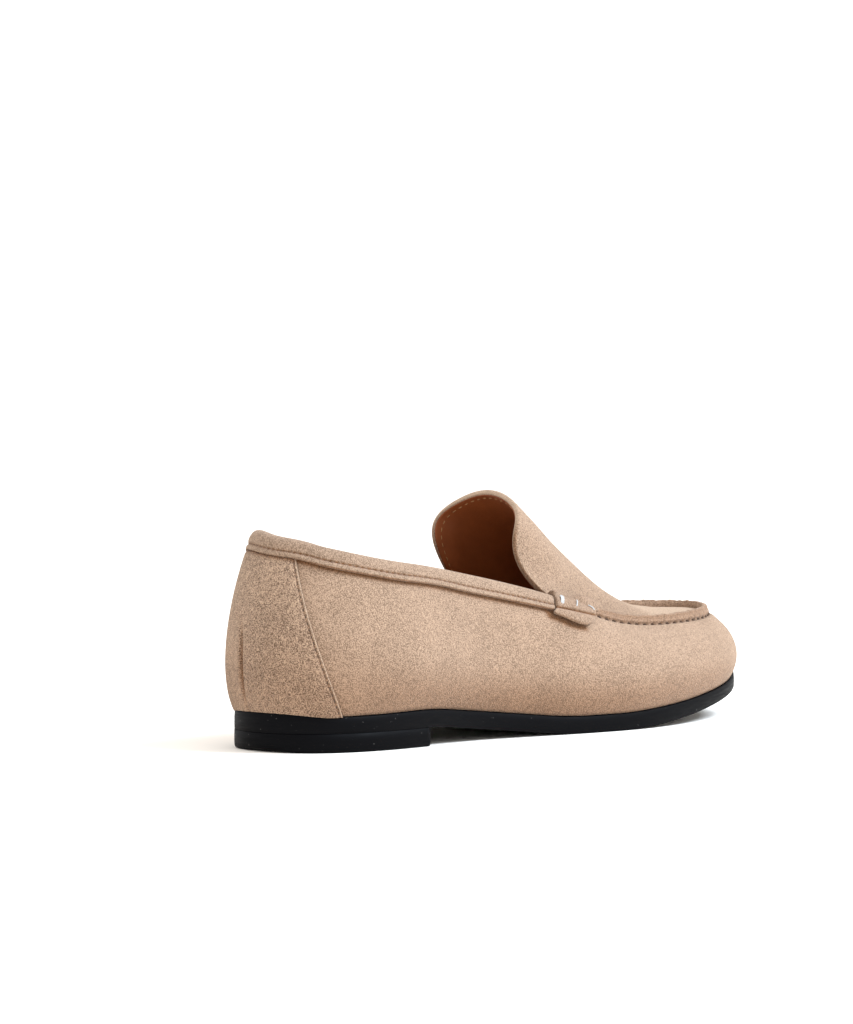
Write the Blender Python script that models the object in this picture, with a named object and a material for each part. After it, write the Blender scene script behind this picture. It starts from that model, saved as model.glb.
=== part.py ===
"""A right-foot suede loafer with a raised moccasin seam, a standing tongue and a thin black sole.

The shape starts from the last: a ring of sections stands on the edge of the sole, and smooth curves run
through them all the way round the foot. Every piece of the upper is cut from that one surface.
Sizes are in millimetres up to the point where a mesh is made. +X is the toe, +Y the inner side of the foot
and +Z up. In the tables X = 0 is the back of the heel's edge; the empty that carries the pieces moves the
middle of the shoe's footprint to the origin.
"""

import bmesh
import bpy
import numpy as np

MM = 0.001

# Where the middle of the footprint lies in the tables' own X and Y
MIDDLE_X = 131.4
MIDDLE_Y = 1.0

# Sole: a 7 mm heel block, a seat that rises at its back, an arched waist, a flat tread under the ball and
# a toe that springs up
HEEL_LIFT = 7.0
HEEL_BREAST_X = 59.5
ARCH_X = (64.0, 132.0)
ARCH_EASE = 10.0
TREAD_END_X = 158.0
TOE_SPRING = 14.0
SPRING_POWER = 1.5
SOLE_END_X = 266.0
SEAT_THICK = 5.9
SEAT_END_X = 20.0
SEAT_RISE = 1.7
SEAT_RISE_END_X = 16.0
SOLE_THICK = 6.4
TOE_THICK = 4.7
SOLE_BEVEL = 0.8

# Walls and the clearances between pieces
GAP = 0.3
FEATHER_INSET = 1.0
WALL = 2.2
APRON_THICK = 2.2
OVERLAY_THICK = 1.0
INSOLE_THICK = 2.5
INSOLE_INSET = 4.2

# Top edges: the collar's plain edge, and the lip that turns up as the raised seam round the apron
COLLAR_BAND = 2.0
LIP_BAND = 4.0
LIP_BEND = 1.2
LIP_LEAN = 0.15
EDGE_ROUND = 0.5
APRON_STEP = 0.8

# The folded strip over the collar
STRIP_THICK = 1.2
STRIP_OUTER_LEG = 6.3
STRIP_INNER_LEG = 3.2
STRIP_FOLD_DROP = 0.6

# The ring of sections: each stands at x, y on the sole's edge. The wall leaves the edge towards its belly,
# rises past its shoulder and ends at its top; each is given outwards from the edge and up from the sole.
RING_COLUMNS = ("x", "y", "belly_out", "belly_up", "shoulder_out", "shoulder_up", "top_out", "top_up")
RING = {
    "heel back": (1.5, 0.0, 5.0, 11.5, 2.0, 39.4, -7.5, 59.9),
    "heel corner, outer": (9.0, -19.5, 5.3, 12.5, 2.0, 38.4, -7.0, 58.4),
    "heel side, outer": (38.0, -31.0, 6.5, 12.7, 3.5, 34.7, -5.0, 52.7),
    "waist, outer": (90.0, -30.0, 6.5, 12.0, 4.0, 31.0, -3.0, 46.5),
    "tab, outer": (135.0, -37.0, 6.5, 12.0, 3.0, 29.5, -8.0, 41.0),
    "ball, outer": (170.0, -41.0, 6.0, 12.0, 1.0, 26.0, -14.0, 33.0),
    "toe side, outer": (217.0, -34.5, 5.5, 10.5, 0.0, 21.5, -11.5, 27.0),
    "toe corner, outer": (248.0, -20.0, 4.5, 9.0, -1.0, 18.0, -10.0, 23.5),
    "toe tip": (264.0, 5.0, 4.0, 9.0, -0.5, 17.0, -10.0, 21.5),
    "toe corner, inner": (253.0, 26.0, 4.5, 9.5, -0.5, 18.0, -10.0, 23.5),
    "toe side, inner": (228.0, 38.0, 5.5, 10.5, 0.0, 21.5, -11.5, 27.5),
    "ball, inner": (188.0, 43.0, 6.0, 12.0, 1.0, 26.0, -15.0, 32.5),
    "tab, inner": (140.0, 33.0, 7.0, 13.0, 6.0, 30.0, 0.0, 42.5),
    "waist, inner": (95.0, 26.0, 7.5, 13.0, 6.5, 31.0, 1.0, 48.0),
    "heel side, inner": (38.0, 29.0, 6.5, 12.7, 3.5, 34.7, -4.5, 55.2),
    "heel corner, inner": (9.0, 19.5, 5.0, 12.0, 2.0, 38.4, -7.0, 61.9),
}
BELLY_OUT, BELLY_UP, SHOULDER_OUT, SHOULDER_UP, TOP_OUT, TOP_UP = range(2, 8)

# The ridge of the tongue and apron, from its free end to the toe. Each cross curve leaves the seam towards a
# point foot_in from the ridge and comes over the ridge from a point crown_out beside it. The drops place those
# two points in height, from 0 at the ridge to 1 at the seam.
RIDGE_COLUMNS = ("along", "x", "y", "z", "foot_in", "crown_out", "foot_drop", "crown_drop")
RIDGE = {
    "free end": (0.0, 128.0, 2.5, 91.5, 11.7, 37.7, 0.38, 0.21),
    "upper instep": (0.25, 153.0, 3.0, 74.7, 16.0, 27.5, 1.0, 0.2),
    "lower instep": (0.45, 176.0, 2.0, 57.2, 13.0, 19.0, 1.0, 0.0),
    "throat bend": (0.58, 192.0, 2.0, 46.0, 12.0, 12.0, 1.0, 0.0),
    "apron": (0.8, 223.0, 3.5, 42.0, 12.0, 9.0, 1.0, 0.0),
    "toe": (1.0, 250.0, 5.0, 40.5, 1.0, 1.0, 1.0, 0.0),
}
FOOT_IN, CROWN_OUT, FOOT_DROP, CROWN_DROP = range(3, 7)
FOOT_LIMIT = 0.7
CROWN_ROUND = 8
RIDGE_EASE = 0.05
TONGUE_SETBACK = 24.5
SETBACK_REACH = 0.2
TONGUE_SWEEP = 3.5
SWEEP_CHANGE = (0.3, 0.6)
APRON_END = 0.985

# Front edges of the heel counter, as runs round the sole's edge from the back of the heel
COUNTER_EDGE = {"outer": {"foot_run": 33.0, "top_run": 13.0}, "inner": {"foot_run": 41.0, "top_run": 22.0}}
COUNTER_FOOT = 0.03
COUNTER_TOP = 0.93
# The tabs that cover where strip and seam meet: the ends of their upper edge along X, how far each end is
# set back at the lower edge, and how far they hang below the wall's edge
TAB_ENDS = {"outer": (129.0, 154.5), "inner": (135.5, 159.5)}
TAB_LEAN = (4.0, 11.0)
TAB_DROP = 11.0
TAB_MARGIN = 8.0
TAB_THICK = 1.5
TAB_GAP = 0.5
TAB_OVERLAP = 1.3

SUEDE_BEIGE = ("beige suede", (0.52, 0.37, 0.26), 0.95)
SUEDE_STRIP = ("beige suede, strip", (0.50, 0.35, 0.25), 0.95)
LINING_TAN = ("tan leather sock", (0.25, 0.11, 0.04), 0.6)
SOLE_BLACK = ("black sole", (0.008, 0.008, 0.010), 0.45)
HEEL_BLACK = ("black heel block", (0.009, 0.009, 0.011), 0.5)


# Smooth steps, splines and the ring

def smooth_step(low, high, x):
    t = np.clip((np.asarray(x, float) - low) / (high - low), 0.0, 1.0)
    return t * t * (3.0 - 2.0 * t)


def closed_spline(knots, rows):
    """Periodic cubic spline through rows at knots, which run from 0 to below 1."""
    count = len(knots)
    step = np.diff(np.append(knots, 1.0 + knots[0]))
    system = np.zeros((count, count))
    right = np.zeros_like(rows)
    for here in range(count):
        before = (here - 1) % count
        after = (here + 1) % count
        system[here, before] += step[before]
        system[here, here] += 2.0 * (step[before] + step[here])
        system[here, after] += step[here]
        slope_after = (rows[after] - rows[here]) / step[here]
        slope_before = (rows[here] - rows[before]) / step[before]
        right[here] = 6.0 * (slope_after - slope_before)
    bend = np.linalg.solve(system, right)

    def at(t):
        t = np.asarray(t, float) % 1.0
        here = np.clip(np.searchsorted(knots, t, side="right") - 1, 0, count - 1)
        after = (here + 1) % count
        width = step[here][..., None]
        done = (t - knots[here])[..., None]
        left = width - done
        curved = (bend[here] * left**3 + bend[after] * done**3) / (6.0 * width)
        start = (rows[here] / width - bend[here] * width / 6.0) * left
        end = (rows[after] / width - bend[after] * width / 6.0) * done
        return curved + start + end

    return at


RING_NAMES = list(RING)
RING_ROWS = np.array(list(RING.values()))
RING_STEPS = np.linalg.norm(np.roll(RING_ROWS[:, :2], -1, axis=0) - RING_ROWS[:, :2], axis=1)
RING_KNOTS = np.concatenate([[0.0], np.cumsum(RING_STEPS)[:-1]]) / RING_STEPS.sum()
section_at = closed_spline(RING_KNOTS, RING_ROWS)

T_TAB_OUTER = RING_KNOTS[RING_NAMES.index("tab, outer")]
T_TOE = RING_KNOTS[RING_NAMES.index("toe tip")]
T_TAB_INNER = RING_KNOTS[RING_NAMES.index("tab, inner")]


def outward(t):
    """Unit direction in plan that leads away from the foot at ring place t."""
    reach = 1e-4
    along = section_at(np.asarray(t) + reach)[..., :2] - section_at(np.asarray(t) - reach)[..., :2]
    along /= np.linalg.norm(along, axis=-1, keepdims=True)
    return np.stack([along[..., 1], -along[..., 0]], axis=-1)


def ring_place(x, side):
    """Ring place whose section stands at x on the outer or the inner side."""
    t = np.linspace(0.0, T_TOE, 400) if side == "outer" else np.linspace(1.0, T_TOE, 400)
    xs = section_at(t)[:, 0]
    lowest = np.argmin(xs)
    highest = np.argmax(xs)
    return np.interp(x, xs[lowest:highest + 1], t[lowest:highest + 1])


# The lip rises out of the collar's edge under each tab
LIP_START = {
    side: (ring_place(back + TAB_MARGIN, side), ring_place(front - TAB_MARGIN, side))
    for side, (back, front) in TAB_ENDS.items()
}


# Sole heights

def eased(x, corner):
    """0 before the corner and x - corner after it, with a round turn between."""
    x = np.asarray(x, float) - corner
    return np.where(np.abs(x) < ARCH_EASE, (x + ARCH_EASE) ** 2 / (4 * ARCH_EASE), np.maximum(x, 0.0))


def sole_bottom(x):
    fall = (eased(x, ARCH_X[0]) - eased(x, ARCH_X[1])) / (ARCH_X[1] - ARCH_X[0])
    spring = np.clip((np.asarray(x) - TREAD_END_X) / (SOLE_END_X - TREAD_END_X), 0.0, None) ** SPRING_POWER
    return HEEL_LIFT * (1.0 - fall) + TOE_SPRING * spring


def sole_top(x):
    thick = SEAT_THICK + (SOLE_THICK - SEAT_THICK) * smooth_step(SEAT_END_X, HEEL_BREAST_X, x)
    thick = thick + SEAT_RISE * smooth_step(SEAT_RISE_END_X, 0.0, x)
    thick = thick + (TOE_THICK - SOLE_THICK) * smooth_step(TREAD_END_X, SOLE_END_X, x)
    return sole_bottom(x) + thick


# The upper's own surface

def lip_share(t):
    """1 along the seam round the apron, 0 along the collar."""
    t = np.asarray(t, float) % 1.0
    rise = smooth_step(*LIP_START["outer"], t)
    fall = smooth_step(*LIP_START["inner"][::-1], t)
    return rise * (1.0 - fall)


def unit(vectors):
    return vectors / np.linalg.norm(vectors, axis=-1, keepdims=True)


def section(t, v):
    """Places (out, up) and unit normals of the wall's outer face, in the plane of the section at t.

    v runs from 0 at the sole to 1 at the seam line, and on to 2 over the edge band.
    """
    row = section_at(t)
    foot = np.stack([np.full_like(row[..., 0], -FEATHER_INSET), np.zeros_like(row[..., 0])], axis=-1)
    belly = row[..., [BELLY_OUT, BELLY_UP]]
    shoulder = row[..., [SHOULDER_OUT, SHOULDER_UP]]
    top = row[..., [TOP_OUT, TOP_UP]]
    c = np.clip(v, 0.0, 1.0)[..., None]
    place = foot * (1 - c) ** 3 + 3 * belly * c * (1 - c) ** 2 + 3 * shoulder * c**2 * (1 - c) + top * c**3
    along = (belly - foot) * (1 - c) ** 2 + 2 * (shoulder - belly) * c * (1 - c) + (top - shoulder) * c**2

    share = lip_share(t)[..., None]
    wall_way = unit(top - shoulder)
    edge_way = unit(wall_way * (1 - share) + np.array([LIP_LEAN, 1.0]) * share)
    band = COLLAR_BAND + (LIP_BAND - COLLAR_BAND) * share
    bend = np.minimum(LIP_BEND, band)
    w = np.clip(np.asarray(v) - 1.0, 0.0, 1.0)[..., None]
    place = place + 2 * w * (1 - w) * wall_way * bend + w**2 * (wall_way * bend + edge_way * (band - bend))
    over = 2 * (1 - 2 * w) * wall_way * bend + 2 * w * (wall_way * bend + edge_way * (band - bend))
    way = unit(np.where(w > 0, over, along))
    normal = np.stack([way[..., 1], -way[..., 0]], axis=-1)
    return place, normal


def wall(t, v, lift=0.0):
    """Points of the upper's outer face, or of a surface lifted off it along the sections' normals."""
    t, v, lift = np.broadcast_arrays(np.asarray(t, float), np.asarray(v, float), np.asarray(lift, float))
    place, normal = section(t, v)
    # Near the sole an inner face goes straight in, so that the wall's lower edge stays level
    level = np.where(lift < 0, smooth_step(0.0, 0.2, v), 1.0)
    normal = unit(np.stack([normal[..., 0], normal[..., 1] * level], axis=-1))
    place = place + normal * lift[..., None]
    row = section_at(t)
    away = outward(t)
    base_x = row[..., 0] - FEATHER_INSET * away[..., 0]
    x = row[..., 0] + away[..., 0] * place[..., 0]
    y = row[..., 1] + away[..., 1] * place[..., 0]
    return np.stack([x, y, sole_top(base_x) + GAP + place[..., 1]], axis=-1)


def ring_stations(count):
    """Ring places all the way round, closer together where the outline turns."""
    t = np.linspace(0.0, 1.0, 2001)
    away = outward(t)
    turned = np.arccos(np.clip((away[1:] * away[:-1]).sum(axis=1), -1.0, 1.0))
    run = np.linalg.norm(np.diff(section_at(t)[:, :2], axis=0), axis=1)
    weight = run / run.sum() + turned / turned.sum()
    done = np.concatenate([[0.0], np.cumsum(weight)]) / weight.sum()
    return np.interp(np.arange(count) / count, done, t)


# Meshes

def material_of(name, colour, roughness):
    material = bpy.data.materials.new(name)
    material.use_nodes = True
    shader = material.node_tree.nodes["Principled BSDF"]
    shader.inputs["Base Color"].default_value = (*colour, 1.0)
    shader.inputs["Roughness"].default_value = roughness
    shader.inputs["Metallic"].default_value = 0.0
    return material


def thick_sheet(name, outer, inner, finish, closed=False):
    """One closed body between two grids of points, given as rows that run along the piece."""
    rows, columns = outer.shape[:2]
    shape = bmesh.new()
    faces_of = []
    for grid in (outer, inner):
        faces_of.append([[shape.verts.new(point * MM) for point in row] for row in grid])
    out, into = faces_of
    for i in range(rows if closed else rows - 1):
        k = (i + 1) % rows
        for j in range(columns - 1):
            shape.faces.new((out[i][j], out[k][j], out[k][j + 1], out[i][j + 1]))
            shape.faces.new((into[i][j], into[i][j + 1], into[k][j + 1], into[k][j]))
        for j in (0, columns - 1):
            shape.faces.new((out[i][j], out[k][j], into[k][j], into[i][j]))
    if not closed:
        for i in (0, rows - 1):
            for j in range(columns - 1):
                shape.faces.new((out[i][j], out[i][j + 1], into[i][j + 1], into[i][j]))
    bmesh.ops.recalc_face_normals(shape, faces=shape.faces)
    if shape.calc_volume(signed=True) < 0:
        bmesh.ops.reverse_faces(shape, faces=shape.faces)
    mesh = bpy.data.meshes.new(name)
    shape.to_mesh(mesh)
    shape.free()
    mesh.materials.append(material_of(*finish))
    mesh.shade_smooth()
    mesh.set_sharp_from_angle(angle=np.radians(40.0))
    piece = bpy.data.objects.new(name, mesh)
    SHOE.objects.link(piece)
    piece.parent = CARRIER
    return piece


# Pieces of the upper

WALL_ROWS = np.array([0.0, 0.1, 0.22, 0.35, 0.49, 0.63, 0.77, 0.9, 1.0, 1.25, 1.55, 1.85, 2.0])
UPPER_PLACES = np.sort(np.concatenate([ring_stations(82), *LIP_START.values()]))


def make_upper():
    t = UPPER_PLACES[:, None]
    v = WALL_ROWS[None, :]
    rounded = np.where(v >= 2.0, EDGE_ROUND, 0.0)
    outer = wall(t, v, -rounded)
    inner = wall(t, v, rounded - WALL)
    thick_sheet("upper", outer, inner, SUEDE_BEIGE, closed=True)


def ridge_at(along):
    """The ridge table's other columns, read through a short moving average so that its bends are round."""
    table = np.array(list(RIDGE.values()))
    reach = RIDGE_EASE * np.linspace(-1.0, 1.0, 15)
    room = np.minimum(1.0, np.minimum(along, 1.0 - along) / RIDGE_EASE)
    places = along[:, None] + reach * room[:, None]
    columns = [np.interp(places, table[:, 0], column).mean(axis=1) for column in table[:, 1:].T]
    return np.stack(columns, axis=-1)


def apron_edge(t):
    """Where the apron meets the inner face of the lip, just above the seam line."""
    edge = wall(t, 1.0)
    edge[:, :2] -= outward(t) * (WALL + LIP_BEND + GAP)
    edge[:, 2] += APRON_STEP
    return edge


def apron_surface(along, across):
    """Outer face of the apron and tongue: along 0 at the free end to 1 at the toe, across -1 to 1."""
    ridge = ridge_at(along)
    fade = np.clip(1.0 - along / SETBACK_REACH, 0.0, 1.0) ** 2
    # The tongue's flanks leave the seam steeply, the apron's rows run straight from it to the ridge
    sweep = TONGUE_SWEEP + (1.0 - TONGUE_SWEEP) * smooth_step(*SWEEP_CHANGE, along)
    grid = np.zeros((len(along), len(across), 3))
    for sign, start in ((-1, T_TAB_OUTER), (1, T_TAB_INNER)):
        edge = apron_edge(start + (T_TOE - start) * along)
        half = edge - ridge[:, :3]
        width = np.abs(half[:, 1])
        foot = np.minimum(ridge[:, FOOT_IN] / width, FOOT_LIMIT)
        crown = ridge[:, CROWN_OUT] / width
        for k, place in enumerate(across):
            if (place < 0) != (sign < 0):
                continue
            c = 1.0 - abs(place)
            at_edge = (1 - c) ** 3
            at_foot = 3 * c * (1 - c) ** 2
            at_crown = 3 * c**2 * (1 - c)
            grid[:, k, 0] = ridge[:, 0] + half[:, 0] * (1 - c) ** sweep
            grid[:, k, 0] -= TONGUE_SETBACK * fade * at_foot
            grid[:, k, 1] = ridge[:, 1] + half[:, 1] * (at_edge + foot * at_foot + crown * at_crown)
            shoulder = at_crown * (1 - c**CROWN_ROUND)
            drop = at_edge + ridge[:, FOOT_DROP] * at_foot + ridge[:, CROWN_DROP] * shoulder
            grid[:, k, 2] = ridge[:, 2] + half[:, 2] * drop
    return grid


def grid_normals(grid):
    along = np.gradient(grid, axis=0)
    across = np.gradient(grid, axis=1)
    return unit(np.cross(along, across) + 1e-12)


APRON_STATIONS = 25
APRON_COLUMNS = 17


def make_apron_tongue():
    along = np.linspace(0.0, APRON_END, APRON_STATIONS)
    across = np.linspace(-1.0, 1.0, APRON_COLUMNS)
    outer = apron_surface(along, across)
    normals = grid_normals(outer)
    normals *= np.sign(normals[..., 2].mean())
    thick_sheet("apron_tongue", outer, outer - normals * APRON_THICK, SUEDE_BEIGE)


def edge_frame(t):
    """At ring place t: the top of the wall's edge, the way up along the wall and the way out of it."""
    top = wall(t, 2.0)
    up = unit(wall(t, 2.0) - wall(t, 1.0))
    out = unit(wall(t, 1.5, 1.0) - wall(t, 1.5))
    return top, up, out


def make_collar_strip():
    lead = ring_place(TAB_ENDS["outer"][0] - 2 * GAP, "outer")
    trail = ring_place(TAB_ENDS["inner"][0] - 2 * GAP, "inner")
    t = UPPER_PLACES
    t = np.concatenate([[trail], t[t > trail], 1.0 + t[t < lead], [1.0 + lead]])
    towards_outer = (2.0 * (t - trail) / (1.0 + lead - trail) - 1.0)[:, None]
    turn = np.radians(np.linspace(0.0, 180.0, 7))
    middle = -0.5 * WALL
    grids = []
    for lift in (GAP + STRIP_THICK, GAP):
        radius = 0.5 * WALL + lift
        fold_out = middle + radius * np.cos(turn)
        fold_up = radius * np.sin(turn) - STRIP_FOLD_DROP
        outs = np.concatenate([[lift, lift], fold_out, [middle - radius - GAP]])
        ups = np.concatenate([[-STRIP_OUTER_LEG, -0.5 * STRIP_OUTER_LEG], fold_up, [-STRIP_INNER_LEG]])
        # The strip's ends lean as the tabs do
        lean = TAB_LEAN[0] * np.clip(-ups / TAB_DROP, 0.0, 1.0) * (outs > 0) / RING_STEPS.sum()
        top, up, out = edge_frame(t[:, None] - lean * towards_outer)
        grids.append(top + out * outs[None, :, None] + up * ups[None, :, None])
    thick_sheet("collar_strip", grids[0], grids[1], SUEDE_STRIP)


COUNTER_STATIONS = 27


def make_counter():
    v = np.append(WALL_ROWS[WALL_ROWS < COUNTER_TOP], COUNTER_TOP)
    v[0] = COUNTER_FOOT
    share = np.linspace(0.0, 1.0, COUNTER_STATIONS)[:, None]
    ends = {}
    for side, edge in COUNTER_EDGE.items():
        run = edge["foot_run"] + (edge["top_run"] - edge["foot_run"]) * v
        ends[side] = run[None, :] / RING_STEPS.sum()
    t = (ends["outer"] + ends["inner"]) * share - ends["inner"]
    outer = wall(t, v[None, :], GAP + OVERLAY_THICK)
    inner = wall(t, v[None, :], GAP)
    thick_sheet("counter", outer, inner, SUEDE_BEIGE)


TAB_STATIONS = 9


def make_side_tab(name, side):
    back, front = TAB_ENDS[side]
    tab = RING_ROWS[RING_NAMES.index("tab, " + side)]
    wall_speed = 3.0 * np.hypot(tab[TOP_OUT] - tab[SHOULDER_OUT], tab[TOP_UP] - tab[SHOULDER_UP])
    low = 1.0 - (TAB_DROP - COLLAR_BAND) / wall_speed
    v = np.concatenate([np.linspace(low, 1.0, 4), [1.3, 1.6, 1.85, 2.0]])
    hang = np.clip((1.0 - v) / (1.0 - low), 0.0, 1.0)
    share = np.linspace(0.0, 1.0, TAB_STATIONS)[:, None]
    lean = TAB_LEAN[0] + (TAB_LEAN[1] - TAB_LEAN[0]) * share
    t = ring_place(back + (front - back) * share - lean * hang, side)
    outer = wall(t, v, TAB_GAP + TAB_THICK)
    inner = wall(t, v, TAB_GAP)
    # The top rolls over the edge and stops past its middle
    _, up, _ = edge_frame(t[:, -1])
    inner_top = wall(t[:, -1], 2.0, -TAB_OVERLAP)
    outer[:, -1] += up * (TAB_GAP + TAB_THICK)
    inner[:, -1] += up * TAB_GAP
    cap_outer = (inner_top + up * (TAB_GAP + TAB_THICK))[:, None]
    cap_inner = (inner_top + up * TAB_GAP)[:, None]
    thick_sheet(name, np.concatenate([outer, cap_outer], axis=1),
                np.concatenate([inner, cap_inner], axis=1), SUEDE_STRIP)


# Sole pieces

def outline(x, inset):
    """Outer and inner points in plan of the sole's edge at x, moved in by inset."""
    t = np.linspace(0.0, 1.0, 1201)
    edge = section_at(t)[:, :2] - outward(t) * inset
    back = np.argmin(edge[:, 0])
    edge = np.roll(edge[:-1], -(back % 1200), axis=0)
    front = np.argmax(edge[:, 0])
    x = np.clip(x, edge[0, 0], edge[front, 0])
    outer = np.interp(x, edge[:front + 1, 0], edge[:front + 1, 1])
    inner = np.interp(x, edge[front:, 0][::-1], edge[front:, 1][::-1])
    return x, outer, inner


def sole_layer(x, inset, height):
    """A row of points from the outer to the inner edge at every station of x."""
    x, outer, inner = outline(x, inset)
    share = np.array([0.0, 0.25, 0.5, 0.75, 1.0])
    y = outer[:, None] + (inner - outer)[:, None] * share
    return np.stack(np.broadcast_arrays(x[:, None], y, height(x)[:, None]), axis=-1)


def round_ended(low, high, count):
    """Stations from low to high that crowd together towards both round ends."""
    return low + (high - low) * 0.5 * (1.0 - np.cos(np.pi * np.linspace(0.0, 1.0, count)))


def sole_body(name, x, inset, top, bottom, bevel, finish):
    """A sole piece whose edge is upright, with a bevel along its lower edge."""
    rim = sole_layer(x, inset, top)
    tread = sole_layer(x, inset + bevel, bottom)
    lower_rim = sole_layer(x, inset, lambda place: bottom(place) + bevel)
    lower = np.concatenate([lower_rim[:, :1], tread, lower_rim[:, -1:]], axis=1)
    upper_side = np.concatenate([rim[:, :1], rim, rim[:, -1:]], axis=1)
    upper_side[:, 0, 2] -= 0.5 * GAP
    upper_side[:, -1, 2] -= 0.5 * GAP
    thick_sheet(name, upper_side, lower, finish)


SOLE_STATIONS = 44
HEEL_STATIONS = 22
INSOLE_STATIONS = 30
# A row of points needs some width, so the first and last stand just inside the outline's ends
TIP_INSET = 0.02


def outline_ends(inset):
    x, _, _ = outline(np.array([-50.0, 400.0]), inset)
    return x[0] + TIP_INSET, x[1] - TIP_INSET


def make_outsole():
    # Two stations bound the flat tread that the forefoot stands on
    tread = [ARCH_X[1] + ARCH_EASE, TREAD_END_X]
    stations = np.sort(np.concatenate([round_ended(*outline_ends(0.0), SOLE_STATIONS), tread]))
    sole_body("outsole", stations, 0.0, sole_top, sole_bottom, SOLE_BEVEL, SOLE_BLACK)


def make_heel():
    back, _ = outline_ends(0.0)
    stations = back + (HEEL_BREAST_X - back) * np.linspace(0.0, 1.0, HEEL_STATIONS) ** 2
    heel_top = lambda place: sole_bottom(place) - GAP
    sole_body("heel", stations, 0.0, heel_top, np.zeros_like, 0.5 * SOLE_BEVEL, HEEL_BLACK)


def make_insole():
    stations = round_ended(*outline_ends(INSOLE_INSET), INSOLE_STATIONS)
    top = sole_layer(stations, INSOLE_INSET, lambda place: sole_top(place) + GAP + INSOLE_THICK)
    bottom = sole_layer(stations, INSOLE_INSET, lambda place: sole_top(place) + GAP)
    thick_sheet("insole", top, bottom, LINING_TAN)


# Assembly

for old in list(bpy.data.objects):
    bpy.data.objects.remove(old)
SHOE = bpy.data.collections.new("suede_loafer")
bpy.context.scene.collection.children.link(SHOE)
CARRIER = bpy.data.objects.new("shoe_middle", None)
CARRIER.location = (-MIDDLE_X * MM, -MIDDLE_Y * MM, 0.0)
SHOE.objects.link(CARRIER)

make_outsole()
make_heel()
make_insole()
make_upper()
make_apron_tongue()
make_collar_strip()
make_counter()
make_side_tab("side_tab_lateral", "outer")
make_side_tab("side_tab_medial", "inner")
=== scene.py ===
"""Looks of a right-foot suede loafer: fine meshes for its suede pieces, lining, sole and sewing.

The shapes repeat the sizes and curves that the solids were made from, with the apron tucked closer to the
raised seam and the tongue's inner flank skived. Lengths are in millimetres, with X = 0 at the back of the
heel's edge, +X to the toe, +Y to the inner side of the foot and +Z up.
"""

import bmesh
import bpy
import numpy as np
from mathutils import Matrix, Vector


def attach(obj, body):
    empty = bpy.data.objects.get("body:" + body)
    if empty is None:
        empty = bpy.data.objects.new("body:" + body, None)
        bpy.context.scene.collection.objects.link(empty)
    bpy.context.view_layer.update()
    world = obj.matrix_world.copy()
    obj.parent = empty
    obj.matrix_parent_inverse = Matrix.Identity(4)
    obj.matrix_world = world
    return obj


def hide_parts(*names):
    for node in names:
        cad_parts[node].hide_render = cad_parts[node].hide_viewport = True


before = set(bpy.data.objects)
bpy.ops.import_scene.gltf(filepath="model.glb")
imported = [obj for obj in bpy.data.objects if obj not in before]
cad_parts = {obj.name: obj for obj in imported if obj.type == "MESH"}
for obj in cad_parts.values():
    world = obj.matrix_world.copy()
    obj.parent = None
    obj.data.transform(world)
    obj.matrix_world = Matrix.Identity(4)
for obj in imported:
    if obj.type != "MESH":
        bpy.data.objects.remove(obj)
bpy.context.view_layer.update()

# The frame is in metres, with its origin under the middle of the shoe
MM = 0.001
MIDDLE = np.array([131.4, 1.0, 0.0])

# Sole
HEEL_LIFT = 7.0
HEEL_BREAST_X = 59.5
ARCH_X = (64.0, 132.0)
ARCH_EASE = 10.0
TREAD_END_X = 158.0
TOE_SPRING = 14.0
SPRING_POWER = 1.5
SOLE_END_X = 266.0
SEAT_THICK = 5.9
SEAT_END_X = 20.0
SEAT_RISE = 1.7
SEAT_RISE_END_X = 16.0
SOLE_THICK = 6.4
TOE_THICK = 4.7

# Walls and clearances
GAP = 0.3
FEATHER_INSET = 1.0
WALL = 2.2
FOOT_LEVEL_V = 0.2
LINING_THICK = 0.5
LINING_GAP = 0.05
INSOLE_THICK = 2.5
INSOLE_INSET = 4.2
SOCK_OVER = 0.3

# Top edges
COLLAR_BAND = 2.0
LIP_BAND = 4.0
LIP_BEND = 1.2
LIP_LEAN = 0.15
APRON_STEP = 0.8

# The ring of sections that the upper is drawn through: x and y of its foot, then how far out and up from
# there the belly, the shoulder and the top of the wall are
RING = {
    "heel back": (1.5, 0.0, 5.0, 11.5, 2.0, 39.4, -7.5, 59.9),
    "heel corner, outer": (9.0, -19.5, 5.3, 12.5, 2.0, 38.4, -7.0, 58.4),
    "heel side, outer": (38.0, -31.0, 6.5, 12.7, 3.5, 34.7, -5.0, 52.7),
    "waist, outer": (90.0, -30.0, 6.5, 12.0, 4.0, 31.0, -3.0, 46.5),
    "tab, outer": (135.0, -37.0, 6.5, 12.0, 3.0, 29.5, -8.0, 41.0),
    "ball, outer": (170.0, -41.0, 6.0, 12.0, 1.0, 26.0, -14.0, 33.0),
    "toe side, outer": (217.0, -34.5, 5.5, 10.5, 0.0, 21.5, -11.5, 27.0),
    "toe corner, outer": (248.0, -20.0, 4.5, 9.0, -1.0, 18.0, -10.0, 23.5),
    "toe tip": (264.0, 5.0, 4.0, 9.0, -0.5, 17.0, -10.0, 21.5),
    "toe corner, inner": (253.0, 26.0, 4.5, 9.5, -0.5, 18.0, -10.0, 23.5),
    "toe side, inner": (228.0, 38.0, 5.5, 10.5, 0.0, 21.5, -11.5, 27.5),
    "ball, inner": (188.0, 43.0, 6.0, 12.0, 1.0, 26.0, -15.0, 32.5),
    "tab, inner": (140.0, 33.0, 7.0, 13.0, 6.0, 30.0, 0.0, 42.5),
    "waist, inner": (95.0, 26.0, 7.5, 13.0, 6.5, 31.0, 1.0, 48.0),
    "heel side, inner": (38.0, 29.0, 6.5, 12.7, 3.5, 34.7, -4.5, 55.2),
    "heel corner, inner": (9.0, 19.5, 5.0, 12.0, 2.0, 38.4, -7.0, 61.9),
}
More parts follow.
